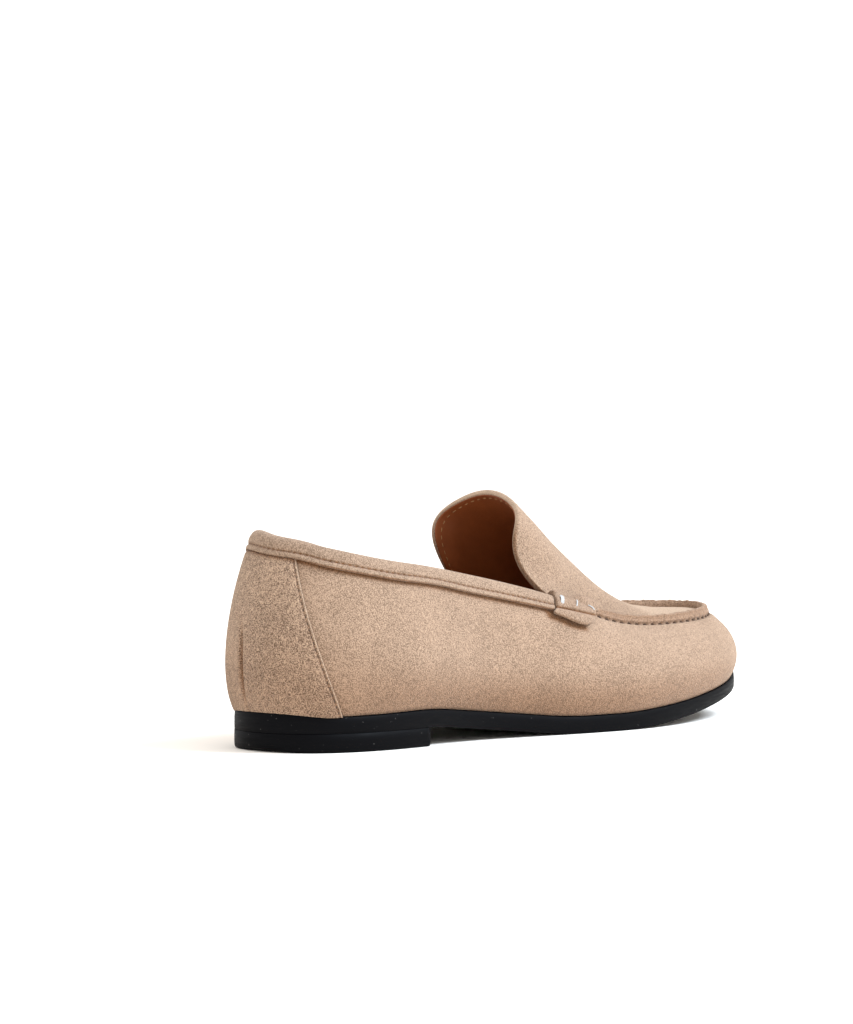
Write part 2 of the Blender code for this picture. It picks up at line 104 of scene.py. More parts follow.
BELLY_OUT, BELLY_UP, SHOULDER_OUT, SHOULDER_UP, TOP_OUT, TOP_UP = range(2, 8)

# The ridge of tongue and apron, from the free end to the toe: share of the way along, then x, y and z, and
# how the sides fall from it, as foot in, crown out, foot drop and crown drop
RIDGE = {
    "free end": (0.0, 128.0, 2.5, 91.5, 11.7, 37.7, 0.38, 0.21),
    "upper instep": (0.25, 153.0, 3.0, 74.7, 16.0, 27.5, 1.0, 0.2),
    "lower instep": (0.45, 176.0, 2.0, 57.2, 13.0, 19.0, 1.0, 0.0),
    "throat bend": (0.58, 192.0, 2.0, 46.0, 12.0, 12.0, 1.0, 0.0),
    "apron": (0.8, 223.0, 3.5, 42.0, 12.0, 9.0, 1.0, 0.0),
    "toe": (1.0, 250.0, 5.0, 40.5, 1.0, 1.0, 1.0, 0.0),
}
FOOT_IN, CROWN_OUT, FOOT_DROP, CROWN_DROP = range(3, 7)
FOOT_LIMIT = 0.7
CROWN_ROUND = 8
RIDGE_EASE = 0.05
TONGUE_SETBACK = 24.5
SETBACK_REACH = 0.2
TONGUE_SWEEP = 3.5
SWEEP_CHANGE = (0.3, 0.6)
TONGUE_SUEDE_THICK = 2.0
TONGUE_LINING_THICK = 0.4
TONGUE_LINING_INSET = 0.7
TONGUE_LINING_GAP = 0.02

# Overlays
STRIP_THICK = 1.2
STRIP_OUTER_LEG = 6.3
STRIP_INNER_LEG = 3.2
STRIP_FOLD_DROP = 0.6
COUNTER_EDGE = {"outer": {"foot_run": 33.0, "top_run": 13.0}, "inner": {"foot_run": 41.0, "top_run": 22.0}}
COUNTER_THICK = 1.0
TAB_ENDS = {"outer": (129.0, 154.5), "inner": (135.5, 159.5)}
TAB_LEAN = (4.0, 11.0)
TAB_DROP = 11.0
TAB_MARGIN = 8.0
TAB_THICK = 1.5
TAB_GAP = 0.5

# Stitches
STRIP_PITCH = 2.7
COUNTER_PITCH = 2.5
MOCCASIN_PITCH = 5.0
TONGUE_PITCH = 3.0


# Curves of the last

def smooth_step(low, high, x):
    """0 before low and 1 after high, or the other way round where low is the larger."""
    t = np.clip((np.asarray(x, float) - low) / (high - low), 0.0, 1.0)
    return t * t * (3.0 - 2.0 * t)


def bell(x, width):
    """1 at x = 0, fading on both sides over about the width."""
    return np.exp(-((np.asarray(x, float) / width) ** 2))


def blend(low, high, share):
    """low where share is 0, high where it is 1."""
    return low + (high - low) * share


def bells(x, table):
    """Sum of bells, each given as height, place and width."""
    return sum(height * bell(x - place, width) for height, place, width in table)


def waves(run, table):
    """Sum of waves along a run, each given as height, length of a radian and start."""
    return sum(height * np.sin(run / length + start) for height, length, start in table)


def unit(vectors):
    return vectors / np.linalg.norm(vectors, axis=-1, keepdims=True)


def run_along(path):
    """Distance along a path at each of its points."""
    return np.concatenate([[0.0], np.cumsum(np.linalg.norm(np.diff(path, axis=0), axis=1))])


def closed_spline(knots, rows):
    """Periodic cubic spline through rows at knots, which run from 0 to below 1."""
    count = len(knots)
    step = np.diff(np.append(knots, 1.0 + knots[0]))
    system = np.zeros((count, count))
    right = np.zeros_like(rows)
    for here in range(count):
        before = (here - 1) % count
        after = (here + 1) % count
        system[here, before] += step[before]
        system[here, here] += 2.0 * (step[before] + step[here])
        system[here, after] += step[here]
        slope_after = (rows[after] - rows[here]) / step[here]
        slope_before = (rows[here] - rows[before]) / step[before]
        right[here] = 6.0 * (slope_after - slope_before)
    bend = np.linalg.solve(system, right)

    def at(t):
        t = np.asarray(t, float) % 1.0
        here = np.clip(np.searchsorted(knots, t, side="right") - 1, 0, count - 1)
        after = (here + 1) % count
        width = step[here][..., None]
        done = (t - knots[here])[..., None]
        left = width - done
        curved = (bend[here] * left**3 + bend[after] * done**3) / (6.0 * width)
        start = (rows[here] / width - bend[here] * width / 6.0) * left
        end = (rows[after] / width - bend[after] * width / 6.0) * done
        return curved + start + end

    return at


RING_NAMES = list(RING)
RING_ROWS = np.array(list(RING.values()))
RING_RUN = run_along(np.concatenate([RING_ROWS, RING_ROWS[:1]])[:, :2])
RING_LENGTH = RING_RUN[-1]
RING_KNOTS = RING_RUN[:-1] / RING_LENGTH
section_at = closed_spline(RING_KNOTS, RING_ROWS)

T_TOE = RING_KNOTS[RING_NAMES.index("toe tip")]
T_TAB = {side: RING_KNOTS[RING_NAMES.index("tab, " + side)] for side in TAB_ENDS}


def outward(t):
    """Unit direction in plan that leads away from the foot at ring place t."""
    reach = 1e-4
    along = unit(section_at(np.asarray(t) + reach)[..., :2] - section_at(np.asarray(t) - reach)[..., :2])
    return np.stack([along[..., 1], -along[..., 0]], axis=-1)


def ring_place(x, side):
    """Ring place whose section stands at x on the outer or the inner side."""
    t = np.linspace(0.0 if side == "outer" else 1.0, T_TOE, 400)
    xs = section_at(t)[:, 0]
    lowest = np.argmin(xs)
    highest = np.argmax(xs)
    return np.interp(x, xs[lowest:highest + 1], t[lowest:highest + 1])


LIP_START = {
    side: (ring_place(back + TAB_MARGIN, side), ring_place(front - TAB_MARGIN, side))
    for side, (back, front) in TAB_ENDS.items()
}


def eased(x, corner):
    """0 before the corner and x - corner after it, with a round turn between."""
    x = np.asarray(x, float) - corner
    return np.where(np.abs(x) < ARCH_EASE, (x + ARCH_EASE) ** 2 / (4 * ARCH_EASE), np.maximum(x, 0.0))


def sole_bottom(x):
    fall = (eased(x, ARCH_X[0]) - eased(x, ARCH_X[1])) / (ARCH_X[1] - ARCH_X[0])
    spring = np.clip((np.asarray(x) - TREAD_END_X) / (SOLE_END_X - TREAD_END_X), 0.0, None) ** SPRING_POWER
    return HEEL_LIFT * (1.0 - fall) + TOE_SPRING * spring


def sole_top(x):
    thick = blend(SEAT_THICK, SOLE_THICK, smooth_step(SEAT_END_X, HEEL_BREAST_X, x))
    thick = thick + SEAT_RISE * smooth_step(SEAT_RISE_END_X, 0.0, x)
    thick = thick + (TOE_THICK - SOLE_THICK) * smooth_step(TREAD_END_X, SOLE_END_X, x)
    return sole_bottom(x) + thick


def lip_share(t):
    """1 along the seam round the apron, 0 along the collar."""
    t = np.asarray(t, float) % 1.0
    rise = smooth_step(*LIP_START["outer"], t)
    fall = smooth_step(*LIP_START["inner"][::-1], t)
    return rise * (1.0 - fall)


def section(t, v):
    """Places (out, up) and unit normals of the wall's outer face.

    v is 0 at the sole, 1 at the seam line and 2 on top.
    """
    row = section_at(t)
    foot = np.stack([np.full_like(row[..., 0], -FEATHER_INSET), np.zeros_like(row[..., 0])], axis=-1)
    belly = row[..., [BELLY_OUT, BELLY_UP]]
    shoulder = row[..., [SHOULDER_OUT, SHOULDER_UP]]
    top = row[..., [TOP_OUT, TOP_UP]]
    c = np.clip(v, 0.0, 1.0)[..., None]
    place = foot * (1 - c) ** 3 + 3 * belly * c * (1 - c) ** 2 + 3 * shoulder * c**2 * (1 - c) + top * c**3
    along = (belly - foot) * (1 - c) ** 2 + 2 * (shoulder - belly) * c * (1 - c) + (top - shoulder) * c**2

    share = lip_share(t)[..., None]
    wall_way = unit(top - shoulder)
    edge_way = unit(wall_way * (1 - share) + np.array([LIP_LEAN, 1.0]) * share)
    band = blend(COLLAR_BAND, LIP_BAND, share)
    bend = np.minimum(LIP_BEND, band)
    w = np.clip(np.asarray(v) - 1.0, 0.0, 1.0)[..., None]
    place = place + 2 * w * (1 - w) * wall_way * bend + w**2 * (wall_way * bend + edge_way * (band - bend))
    over = 2 * (1 - 2 * w) * wall_way * bend + 2 * w * (wall_way * bend + edge_way * (band - bend))
    way = unit(np.where(w > 0, over, along))
    normal = np.stack([way[..., 1], -way[..., 0]], axis=-1)
    return place, normal


def wall(t, v, lift=0.0):
    """Points of the upper's outer face, or of a surface lifted off it along the sections' normals."""
    t, v, lift = np.broadcast_arrays(np.asarray(t, float), np.asarray(v, float), np.asarray(lift, float))
    place, normal = section(t, v)
    # Inner faces end level with the outer one at the sole
    level = np.where(lift < 0, smooth_step(0.0, FOOT_LEVEL_V, v), 1.0)
    normal = unit(np.stack([normal[..., 0], normal[..., 1] * level], axis=-1))
    place = place + normal * lift[..., None]
    row = section_at(t)
    away = outward(t)
    base_x = row[..., 0] - FEATHER_INSET * away[..., 0]
    x = row[..., 0] + away[..., 0] * place[..., 0]
    y = row[..., 1] + away[..., 1] * place[..., 0]
    return np.stack([x, y, sole_top(base_x) + GAP + place[..., 1]], axis=-1)


def edge_frame(t):
    """At ring place t: the top of the wall's edge, the way up along the wall and the way out of it."""
    top = wall(t, 2.0)
    up = unit(top - wall(t, 1.0))
    out = unit(wall(t, 1.5, 1.0) - wall(t, 1.5))
    return top, up, out


# Materials

# Noise in the nap, as size in mm, detail, roughness and strength: specks of nearly half a millimetre, as
# single fibres are too fine to show, then tufts, then patches where the nap lies another way
NAP_NOISE = ((0.42, 1.5, 0.6, 3.8), (1.5, 2.0, 0.5, 0.9), (17.0, 2.0, 0.5, 0.5))


def linear(hex_colour):
    """sRGB hex to linear RGBA."""
    parts = [int(hex_colour[k:k + 2], 16) / 255.0 for k in (1, 3, 5)]
    return tuple(c / 12.92 if c <= 0.04045 else ((c + 0.055) / 1.055) ** 2.4 for c in parts) + (1.0,)


def per_metre(size_mm):
    """Texture scale, in features per metre, for features of a size in mm."""
    return 1000.0 / size_mm


def fill(tree, node, inputs):
    """Sets a node's inputs, each to a value or by a link from another node's output."""
    for name, value in inputs.items():
        if isinstance(value, bpy.types.NodeSocket):
            tree.links.new(value, node.inputs[name])
        else:
            node.inputs[name].default_value = value


def add_node(tree, kind, settings=None, inputs=None):
    node = tree.nodes.new(kind)
    for name, value in (settings or {}).items():
        setattr(node, name, value)
    fill(tree, node, inputs or {})
    return node


def new_material(name):
    material = bpy.data.materials.new(name)
    material.use_nodes = True
    tree = material.node_tree
    place = add_node(tree, "ShaderNodeTexCoord").outputs["Object"]
    return material, tree, tree.nodes["Principled BSDF"], place


def brushed_suede(name, pale, deep, shade_colour, raw, relief):
    """Brushed calf suede: no gloss, a speckle of lit and shaded fibres, and cloudy patches in the nap.

    The piece's shade attribute says where shade is painted on the nap, and its cut attribute where the
    suede turns to a pale raw colour: at a raw cut edge, and where light is painted on the apron.
    """
    material, tree, shader, place = new_material(name)
    tones = [0.5 - 0.5 * sum(strength for _, _, _, strength in NAP_NOISE)]
    for size, detail, roughness, strength in NAP_NOISE:
        noise = add_node(tree, "ShaderNodeTexNoise", {}, {
            "Vector": place, "Scale": per_metre(size), "Detail": detail, "Roughness": roughness})
        total = add_node(tree, "ShaderNodeMath", {"operation": "MULTIPLY_ADD"}, {
            0: noise.outputs["Fac"], 1: strength, 2: tones[-1]})
        tones.append(total.outputs[0])
    specks_and_tufts, tone = tones[-2:]
    nap_colour = add_node(tree, "ShaderNodeMix", {"data_type": "RGBA"}, {
        0: tone, 6: linear(deep), 7: linear(pale)})
    # Painted shade keeps the nap's speckle: the tint brings its mean colour to the shade colour
    mean = [0.5 * (light + dark) for light, dark in zip(linear(pale), linear(deep))]
    tint = [darker / usual for darker, usual in zip(linear(shade_colour), mean)]
    shade = add_node(tree, "ShaderNodeAttribute", {"attribute_name": "shade"})
    colour = add_node(tree, "ShaderNodeMix", {"data_type": "RGBA", "blend_type": "MULTIPLY"}, {
        0: shade.outputs["Fac"], 6: nap_colour.outputs[2], 7: tint})
    cut = add_node(tree, "ShaderNodeAttribute", {"attribute_name": "cut"})
    with_edges = add_node(tree, "ShaderNodeMix", {"data_type": "RGBA"}, {
        0: cut.outputs["Fac"], 6: colour.outputs[2], 7: linear(raw)})
    bump = add_node(tree, "ShaderNodeBump", {}, {
        "Strength": relief, "Distance": 0.3 * MM, "Height": specks_and_tufts})
    fill(tree, shader, {
        "Base Color": with_edges.outputs[2], "Normal": bump.outputs["Normal"], "Roughness": 0.95,
        "Specular IOR Level": 0.12, "Sheen Weight": 0.36, "Sheen Roughness": 0.45,
        "Sheen Tint": linear("#f2dcc8")})
    return material


def lining_leather(name, pale, deep):
    """Smooth lining leather, drum dyed: fine pebbled grain, a soft sheen and uneven dye."""
    material, tree, shader, place = new_material(name)
    grain = add_node(tree, "ShaderNodeTexVoronoi", {"feature": "F1"}, {
        "Vector": place, "Scale": per_metre(0.9)})
    dye = add_node(tree, "ShaderNodeTexNoise", {}, {
        "Vector": place, "Scale": per_metre(9.0), "Detail": 4.0})
    colour = add_node(tree, "ShaderNodeMix", {"data_type": "RGBA"}, {
        0: dye.outputs["Fac"], 6: linear(deep), 7: linear(pale)})
    bump = add_node(tree, "ShaderNodeBump", {}, {
        "Strength": 0.25, "Distance": 0.15 * MM, "Height": grain.outputs["Distance"]})
    fill(tree, shader, {
        "Base Color": colour.outputs[2], "Normal": bump.outputs["Normal"], "Roughness": 0.55,
        "Specular IOR Level": 0.35})
    return material


def edge_dyed_sole(name, body, dust):
    """Sole stock with a dyed and waxed edge: near black, half matt, with rubbed streaks and some dust."""
    material, tree, shader, place = new_material(name)
    flat = add_node(tree, "ShaderNodeMapping", {}, {"Vector": place, "Scale": (0.12, 0.12, 1.0)})
    streaks = add_node(tree, "ShaderNodeTexNoise", {}, {
        "Vector": flat.outputs["Vector"], "Scale": per_metre(0.8), "Detail": 3.0})
    specks = add_node(tree, "ShaderNodeTexNoise", {}, {
        "Vector": place, "Scale": per_metre(1.1), "Detail": 1.0})
    sparse = add_node(tree, "ShaderNodeMapRange", {}, {
        "Value": specks.outputs["Fac"], "From Min": 0.75, "From Max": 0.81, "To Max": 0.4})
    colour = add_node(tree, "ShaderNodeMix", {"data_type": "RGBA"}, {
        0: sparse.outputs["Result"], 6: linear(body), 7: linear(dust)})
    rough = add_node(tree, "ShaderNodeMapRange", {}, {
        "Value": streaks.outputs["Fac"], "From Min": 0.3, "From Max": 0.7, "To Min": 0.46, "To Max": 0.62})
    bump = add_node(tree, "ShaderNodeBump", {}, {
        "Strength": 0.15, "Distance": 0.2 * MM, "Height": streaks.outputs["Fac"]})
    fill(tree, shader, {
        "Base Color": colour.outputs[2], "Normal": bump.outputs["Normal"],
        "Roughness": rough.outputs["Result"], "Specular IOR Level": 0.05})
    return material


def spun_thread(name, pale, deep):
    """Twisted polyester thread: fine light and dark turns along each stitch, with a slight sheen."""
    material, tree, shader, place = new_material(name)
    twist = add_node(tree, "ShaderNodeTexNoise", {}, {
        "Vector": place, "Scale": per_metre(0.35), "Detail": 1.0})
    colour = add_node(tree, "ShaderNodeMix", {"data_type": "RGBA"}, {
        0: twist.outputs["Fac"], 6: linear(deep), 7: linear(pale)})
    fill(tree, shader, {"Base Color": colour.outputs[2], "Roughness": 0.7, "Sheen Weight": 0.1})
    return material


BEIGE_SUEDE = brushed_suede("beige_brushed_suede", "#ac9079", "#745e4d", "#684224", "#c4aa92", 0.55)
COUNTER_SUEDE = brushed_suede("beige_counter_suede", "#c4a58b", "#614b3c", "#684224", "#c4aa92", 0.9)
TRIM_SUEDE = brushed_suede("beige_trim_suede", "#a68c77", "#725d4c", "#684224", "#c4aa92", 0.5)
# Dark suede for stubs in the raised seam's needle holes: painted shade in the holes
HOLE_SHADE_SUEDE = brushed_suede("painted_shade_in_needle_holes", "#4a3324", "#2a1b12", "#2a1b12", "#4a3324", 0.7)
COGNAC_LINING = lining_leather("cognac_lining_leather", "#8c4a22", "#6c3415")
BLACK_SOLE = edge_dyed_sole("black_edge_dyed_sole", "#060608", "#6f6c69")
BLACK_HEEL = edge_dyed_sole("black_edge_dyed_heel", "#050507", "#6f6c69")
SUEDE_THREAD = spun_thread("beige_thread", "#b4977f", "#8b705b")
BROWN_THREAD = spun_thread("brown_thread", "#7d5f49", "#553e2d")
# Counter stitches: their dark colour is painted shade of the needle holes, not the thread's own
HOLE_SHADE_THREAD = spun_thread("dark_brown_thread_for_hole_shade", "#5a4433", "#38281c")
TAN_THREAD = spun_thread("tan_thread", "#a87a4c", "#7d5530")
WHITE_THREAD = spun_thread("white_thread", "#bfc0c1", "#95928f")


# Mesh helpers

EDGE_STEPS = np.array([0.0, 0.15, 0.45])
EDGE_SHARE = 0.12


def finished(name, mesh, node=None):
    """Puts a mesh in the scene as a piece that rides on the shoe, in place of a node where it has one."""
    piece = bpy.data.objects.new(name, mesh)
    bpy.context.scene.collection.objects.link(piece)
    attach(piece, "root")
    if node:
        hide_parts(node)


def looped(name, grid, material, node=None, closed=False, shade=None, cut=None):
    """A piece of closed cross loops: the grid's second axis runs round each loop, its first along the piece.

    From 0 to 1 at each point, shade says how much shade is painted on the nap, and cut how pale the colour
    turns: at a bare cut edge, and where light is painted on the apron.
    """
    rows, around = grid.shape[:2]
    index = np.arange(rows * around).reshape(rows, around)
    here = index if closed else index[:-1]
    after = np.roll(index, -1, axis=0) if closed else index[1:]
    quads = np.stack([here, after, np.roll(after, -1, axis=1), np.roll(here, -1, axis=1)], axis=-1)
    faces = quads.reshape(-1, 4).tolist()
    if not closed:
        half = np.arange(around // 2 - 1)
        cap = np.stack([half, half + 1, around - 2 - half, around - 1 - half], axis=-1)
        faces += index[0][cap].tolist() + index[-1][cap].tolist()
    mesh = bpy.data.meshes.new(name)
    mesh.from_pydata(((grid - MIDDLE) * MM).reshape(-1, 3).tolist(), [], faces)
    shape = bmesh.new()
    shape.from_mesh(mesh)
    bmesh.ops.recalc_face_normals(shape, faces=shape.faces)
    if shape.calc_volume(signed=True) < 0:
        bmesh.ops.reverse_faces(shape, faces=shape.faces)
    shape.to_mesh(mesh)
    shape.free()
    for label, values in (("shade", shade), ("cut", cut)):
        if values is not None:
            mesh.attributes.new(label, "FLOAT", "POINT").data.foreach_set("value", values.ravel())
    mesh.materials.append(material)
    mesh.shade_smooth()
    finished(name, mesh, node)


def sheet_loops(outer, inner):
    """Cross loops of a sheet between two grids: along its outer face and back along its inner one."""
    return np.concatenate([outer, inner[:, ::-1]], axis=1)


def edged(length, spacing, turn):
    """Places from 0 to length about a spacing apart, with closer ones where the edges turn round."""
    start = turn * EDGE_STEPS
    count = max(2, int(round((length - 2 * turn) / spacing)) + 1)
    return np.concatenate([start, np.linspace(turn, length - turn, count), length - start[::-1]])


def rounding(distance, turn):
    """Share of the full thickness at a distance from a rounded edge."""
    inside = np.clip(distance / turn, 0.0, 1.0)
    return blend(EDGE_SHARE, 1.0, np.sqrt(1.0 - (1.0 - inside) ** 2))


# Upper

UPPER_STATIONS = 900
FACE_ROWS = np.concatenate([
    np.linspace(0.0, 0.7, 26), np.linspace(0.715, 0.985, 24), np.linspace(1.0, 1.8, 11)])
INNER_ROWS = np.concatenate([np.linspace(1.8, 1.0, 6), np.linspace(0.85, 0.0, 8)])
LINING_ROWS = np.linspace(0.955, 0.01, 22)
# The wall's turned top edge: lift off its outer face, rise past its edge, and painted shade on the lip's nap
WALL_RIM = (
    (-0.02, -0.45, 0.5), (-0.35, -0.1, 0.45), (-1.1, 0.05, 0.2), (-1.85, -0.1, 0.3), (-2.18, -0.45, 0.3))
RAGGED_WAVES = ((0.1, 1.9, 0.0), (0.09, 0.83, 2.0), (0.08, 0.47, 0.7))
# The raised seam's groove, its rim and the swelling below: height, change at a hole, place and width
SEAM_FORMS = ((-0.45, -0.4, 0.1, 0.7), (0.75, -0.2, 1.9, 1.2), (0.25, -0.15, -2.4, 1.7))
# Painted shade low on the walls: how dark at the heel, sides and toe, and how high it reaches
LOW_SHADE = {"heel": 0.32, "sides": 0.5, "toe": 0.2}
LOW_SHADE_TOP = {"heel": 0.68, "rest": 0.48}
LOW_SHADE_FULL = 0.1
HEEL_END_X = (5.0, 60.0)
TOE_START_X = (215.0, 255.0)
# Painted shade in the raised seam's groove, between holes and at one, and on the rim above it
GROOVE_SHADE = (0.15, 1.0)
GROOVE_UP = 0.4
GROOVE_WIDTH = 0.7
RIM_SHADE = 0.4
RIM_FOOT = (0.3, 1.0)
RIM_TOP = (3.9, 3.2)
STRIP_SHADOW_WIDTH = 1.1
STRIP_SHADOW_FADE = 2.0
SEAM_MARGIN = 0.004
SEAM_T = np.linspace(LIP_START["outer"][1] + SEAM_MARGIN, LIP_START["inner"][1] - SEAM_MARGIN, 900)
SEAM_RUN = run_along(wall(SEAM_T, 1.0))


def wall_speed(t):
    """Length in mm of the wall's outer face for one unit of v, just below the seam line."""
    row = section_at(t)
    out = row[..., TOP_OUT] - row[..., SHOULDER_OUT]
    up = row[..., TOP_UP] - row[..., SHOULDER_UP]
    return 3.0 * np.hypot(out, up)


def above_seam(t, v):
    """Distance in mm along the wall's outer face above the seam line, below it negative."""
    return (v - 1.0) * np.where(v < 1.0, wall_speed(t), LIP_BAND)


def at_holes(t):
    """1 at each hole of the raised seam and 0 half way between two."""
    turns = np.interp(t, SEAM_T, SEAM_RUN) / MOCCASIN_PITCH
    return 0.5 - 0.5 * np.cos(2 * np.pi * turns)


def seam_relief(t, v):
    """Lift in mm of the sewn rim: the stitches draw the wall in under it, more at every hole."""
    above = above_seam(t, v)
    holes = at_holes(t)
    relief = 0.0
    for high, change, place, width in SEAM_FORMS:
        relief = relief + (high + change * holes) * bell(above - place, width)
    return lip_share(t) * relief


def strip_shadow(t, v):
    """Painted shadow on the nap under the collar strip's lower edge."""
    below = -above_seam(t, v) - (STRIP_OUTER_LEG - COLLAR_BAND)
    end = TAB_ENDS["outer"][0]
    behind_tab = smooth_step(end + STRIP_SHADOW_FADE, end - STRIP_SHADOW_FADE, section_at(t)[..., 0])
    return bell(below, STRIP_SHADOW_WIDTH) * behind_tab


def low_shade(t, v):
    """Painted shade low on the walls, darkening towards the sole, most along the sides of the foot."""
    x = section_at(t)[..., 0]
    past_heel = smooth_step(*HEEL_END_X, x)
    most = blend(LOW_SHADE["heel"], LOW_SHADE["sides"], past_heel)
    most = most + (LOW_SHADE["toe"] - LOW_SHADE["sides"]) * smooth_step(*TOE_START_X, x)
    top = blend(LOW_SHADE_TOP["heel"], LOW_SHADE_TOP["rest"], past_heel)
    return most * smooth_step(top, LOW_SHADE_FULL, v)


def upper_shade(t, v):
    """Painted shade on the upper's nap: in the raised seam, on its rim, under strip and tabs, and low on the
    walls.
    """
    above = above_seam(t, v)
    groove = blend(*GROOVE_SHADE, at_holes(t) ** 3) * bell(above - GROOVE_UP, GROOVE_WIDTH)
    rim = RIM_SHADE * smooth_step(*RIM_FOOT, above) * smooth_step(*RIM_TOP, above)
    seam = lip_share(t) * (groove + rim)
    return np.clip(seam + low_shade(t, v) + strip_shadow(t, v) + tab_shadow(t, v), 0.0, 1.0)


def make_upper():
    t = (np.arange(UPPER_STATIONS) / UPPER_STATIONS)[:, None]
    _, up, _ = edge_frame(t[:, 0])
    run = t * RING_LENGTH
    ragged = waves(run, RAGGED_WAVES)
    rim = [wall(t[:, 0], 2.0, lift) + up * (rise + ragged * lip_share(t)) for lift, rise, _ in WALL_RIM]
    outer = wall(t, FACE_ROWS, seam_relief(t, FACE_ROWS))
    inner = wall(t, INNER_ROWS, -WALL)
    grid = np.concatenate([outer, np.stack(rim, axis=1), inner], axis=1)
    # Painted shade on the lip's turned rim
    rim_shade = lip_share(t) * np.array([shade for _, _, shade in WALL_RIM])
    shade = np.concatenate([upper_shade(t, FACE_ROWS), rim_shade, np.zeros(inner.shape[:2])], axis=1)
    looped("upper_suede", grid, BEIGE_SUEDE, "upper", closed=True, shade=shade)

    near = wall(t[::2], LINING_ROWS, -WALL - LINING_GAP)
    deep = wall(t[::2], LINING_ROWS, -WALL - LINING_GAP - LINING_THICK)
    looped("quarter_lining", sheet_loops(near, deep), COGNAC_LINING, closed=True)


# Apron and tongue

TONGUE_LENGTH = 145.0
TONGUE_BREADTH = 110.0
TONGUE_TURN = 0.9
ALONG_STEP = 1.0
ACROSS_STEP = 0.9
SKIVE = 0.62
SKIVE_REACH = 9.0
SKIVE_START = (0.1, 0.45)
APRON_TUCK = 1.0
APRON_END = 0.996
TOE_ROWS = 0.9
# Looks of the cut edge, which is pale over the instep and has painted shade on the flanks, and painted light
# on the apron
FLANK_START = (0.3, 0.6)
CUT_BAND = (0.9, 0.1)
CUT_PALE = 0.6
FLANK_SPARED = 0.8
FLANK_PAINTED_SHADE = 0.6
FACE_PALE = 0.4
APRON_START = (0.5, 0.62)
APRON_PAINTED_LIGHT = 0.38


def ridge_at(along):
    """The ridge table's other columns, read through a short moving average so that its bends are round."""
    table = np.array(list(RIDGE.values()))
    reach = RIDGE_EASE * np.linspace(-1.0, 1.0, 15)
    room = np.minimum(1.0, np.minimum(along, 1.0 - along) / RIDGE_EASE)
    places = along[:, None] + reach * room[:, None]
    columns = [np.interp(places, table[:, 0], column).mean(axis=1) for column in table[:, 1:].T]
    return np.stack(columns, axis=-1)


def apron_edge(t):
    """Where the apron is tucked against the inner face of the lip, just above the seam line."""
    edge = wall(t, 1.0)
    inset = WALL + LIP_BEND + GAP - APRON_TUCK * lip_share(t)
    edge[:, :2] -= outward(t) * inset[:, None]
    edge[:, 2] += APRON_STEP
    return edge


def apron_surface(along, across):
    """Outer face of the apron and tongue: along 0 at the free end to 1 at the toe, across -1 to 1."""
    ridge = ridge_at(along)
    ridge[:, 0] += APRON_TUCK * smooth_step(TOE_ROWS, 1.0, along)
    fade = np.clip(1.0 - along / SETBACK_REACH, 0.0, 1.0) ** 2
    sweep = blend(TONGUE_SWEEP, 1.0, smooth_step(*SWEEP_CHANGE, along))
    halves = {}
    for side, start in T_TAB.items():
        half = apron_edge(blend(start, T_TOE, along)) - ridge[:, :3]
        width = np.abs(half[:, 1])
        foot = np.minimum(ridge[:, FOOT_IN] / width, FOOT_LIMIT)
        crown = ridge[:, CROWN_OUT] / width
        crown = np.where(along > TOE_ROWS, np.minimum(crown, FOOT_LIMIT), crown)
        halves[side] = (half, foot, crown)
    grid = np.zeros((len(along), len(across), 3))
    for k, place in enumerate(across):
        half, foot, crown = halves["outer" if place < 0 else "inner"]
        c = 1.0 - abs(place)
        at_edge = (1 - c) ** 3
        at_foot = 3 * c * (1 - c) ** 2
        at_crown = 3 * c**2 * (1 - c)
        grid[:, k, 0] = ridge[:, 0] + half[:, 0] * (1 - c) ** sweep - TONGUE_SETBACK * fade * at_foot
        grid[:, k, 1] = ridge[:, 1] + half[:, 1] * (at_edge + foot * at_foot + crown * at_crown)
        shoulder = at_crown * (1 - c**CROWN_ROUND)
        drop = at_edge + ridge[:, FOOT_DROP] * at_foot + ridge[:, CROWN_DROP] * shoulder
        grid[:, k, 2] = ridge[:, 2] + half[:, 2] * drop
    return grid


def grid_normals(grid):
    normals = unit(np.cross(np.gradient(grid, axis=0), np.gradient(grid, axis=1)) + 1e-12)
    return normals * np.sign(normals[..., 2].mean())


def tongue_places(inset):
    """Distances in mm along and across the tongue and apron, for a sheet moved in by inset."""
    along = inset + edged(TONGUE_LENGTH - 2 * inset, ALONG_STEP, TONGUE_TURN)
    across = inset + edged(TONGUE_BREADTH - 2 * inset, ACROSS_STEP, TONGUE_TURN)
    return along, across


def tongue_grid(inset):
    """Outer face of the tongue and apron moved in by inset, and what lies under it.

    Gives the face's points and normals, the distance in mm from its edge and the thickness of the suede,
    which is skived towards the free edge of the inner flank.
    """
    along_mm, across_mm = tongue_places(inset)
    across = 2.0 * across_mm / TONGUE_BREADTH - 1.0
    face = apron_surface(along_mm / TONGUE_LENGTH * APRON_END, across)
    from_end = np.minimum(along_mm, TONGUE_LENGTH - along_mm)[:, None]
    from_side = np.minimum(across_mm, TONGUE_BREADTH - across_mm)[None, :]
    skived = smooth_step(*SKIVE_START, across)[None, :] * smooth_step(SKIVE_REACH, 0.0, along_mm)[:, None]
    suede = TONGUE_SUEDE_THICK * (1.0 - SKIVE * skived)[..., None]
    return face, grid_normals(face), np.minimum(from_end, from_side) - inset, suede


def tongue_sheet(face, normals, share, top, thick):
    """Cross loops of a sheet whose outer face lies by top under the given one, with rounded edges."""
    half = 0.5 * thick
    outer = face - normals * (top + half * (1.0 - share[..., None]))
    inner = face - normals * (top + half * (1.0 + share[..., None]))
    return sheet_loops(outer, inner)


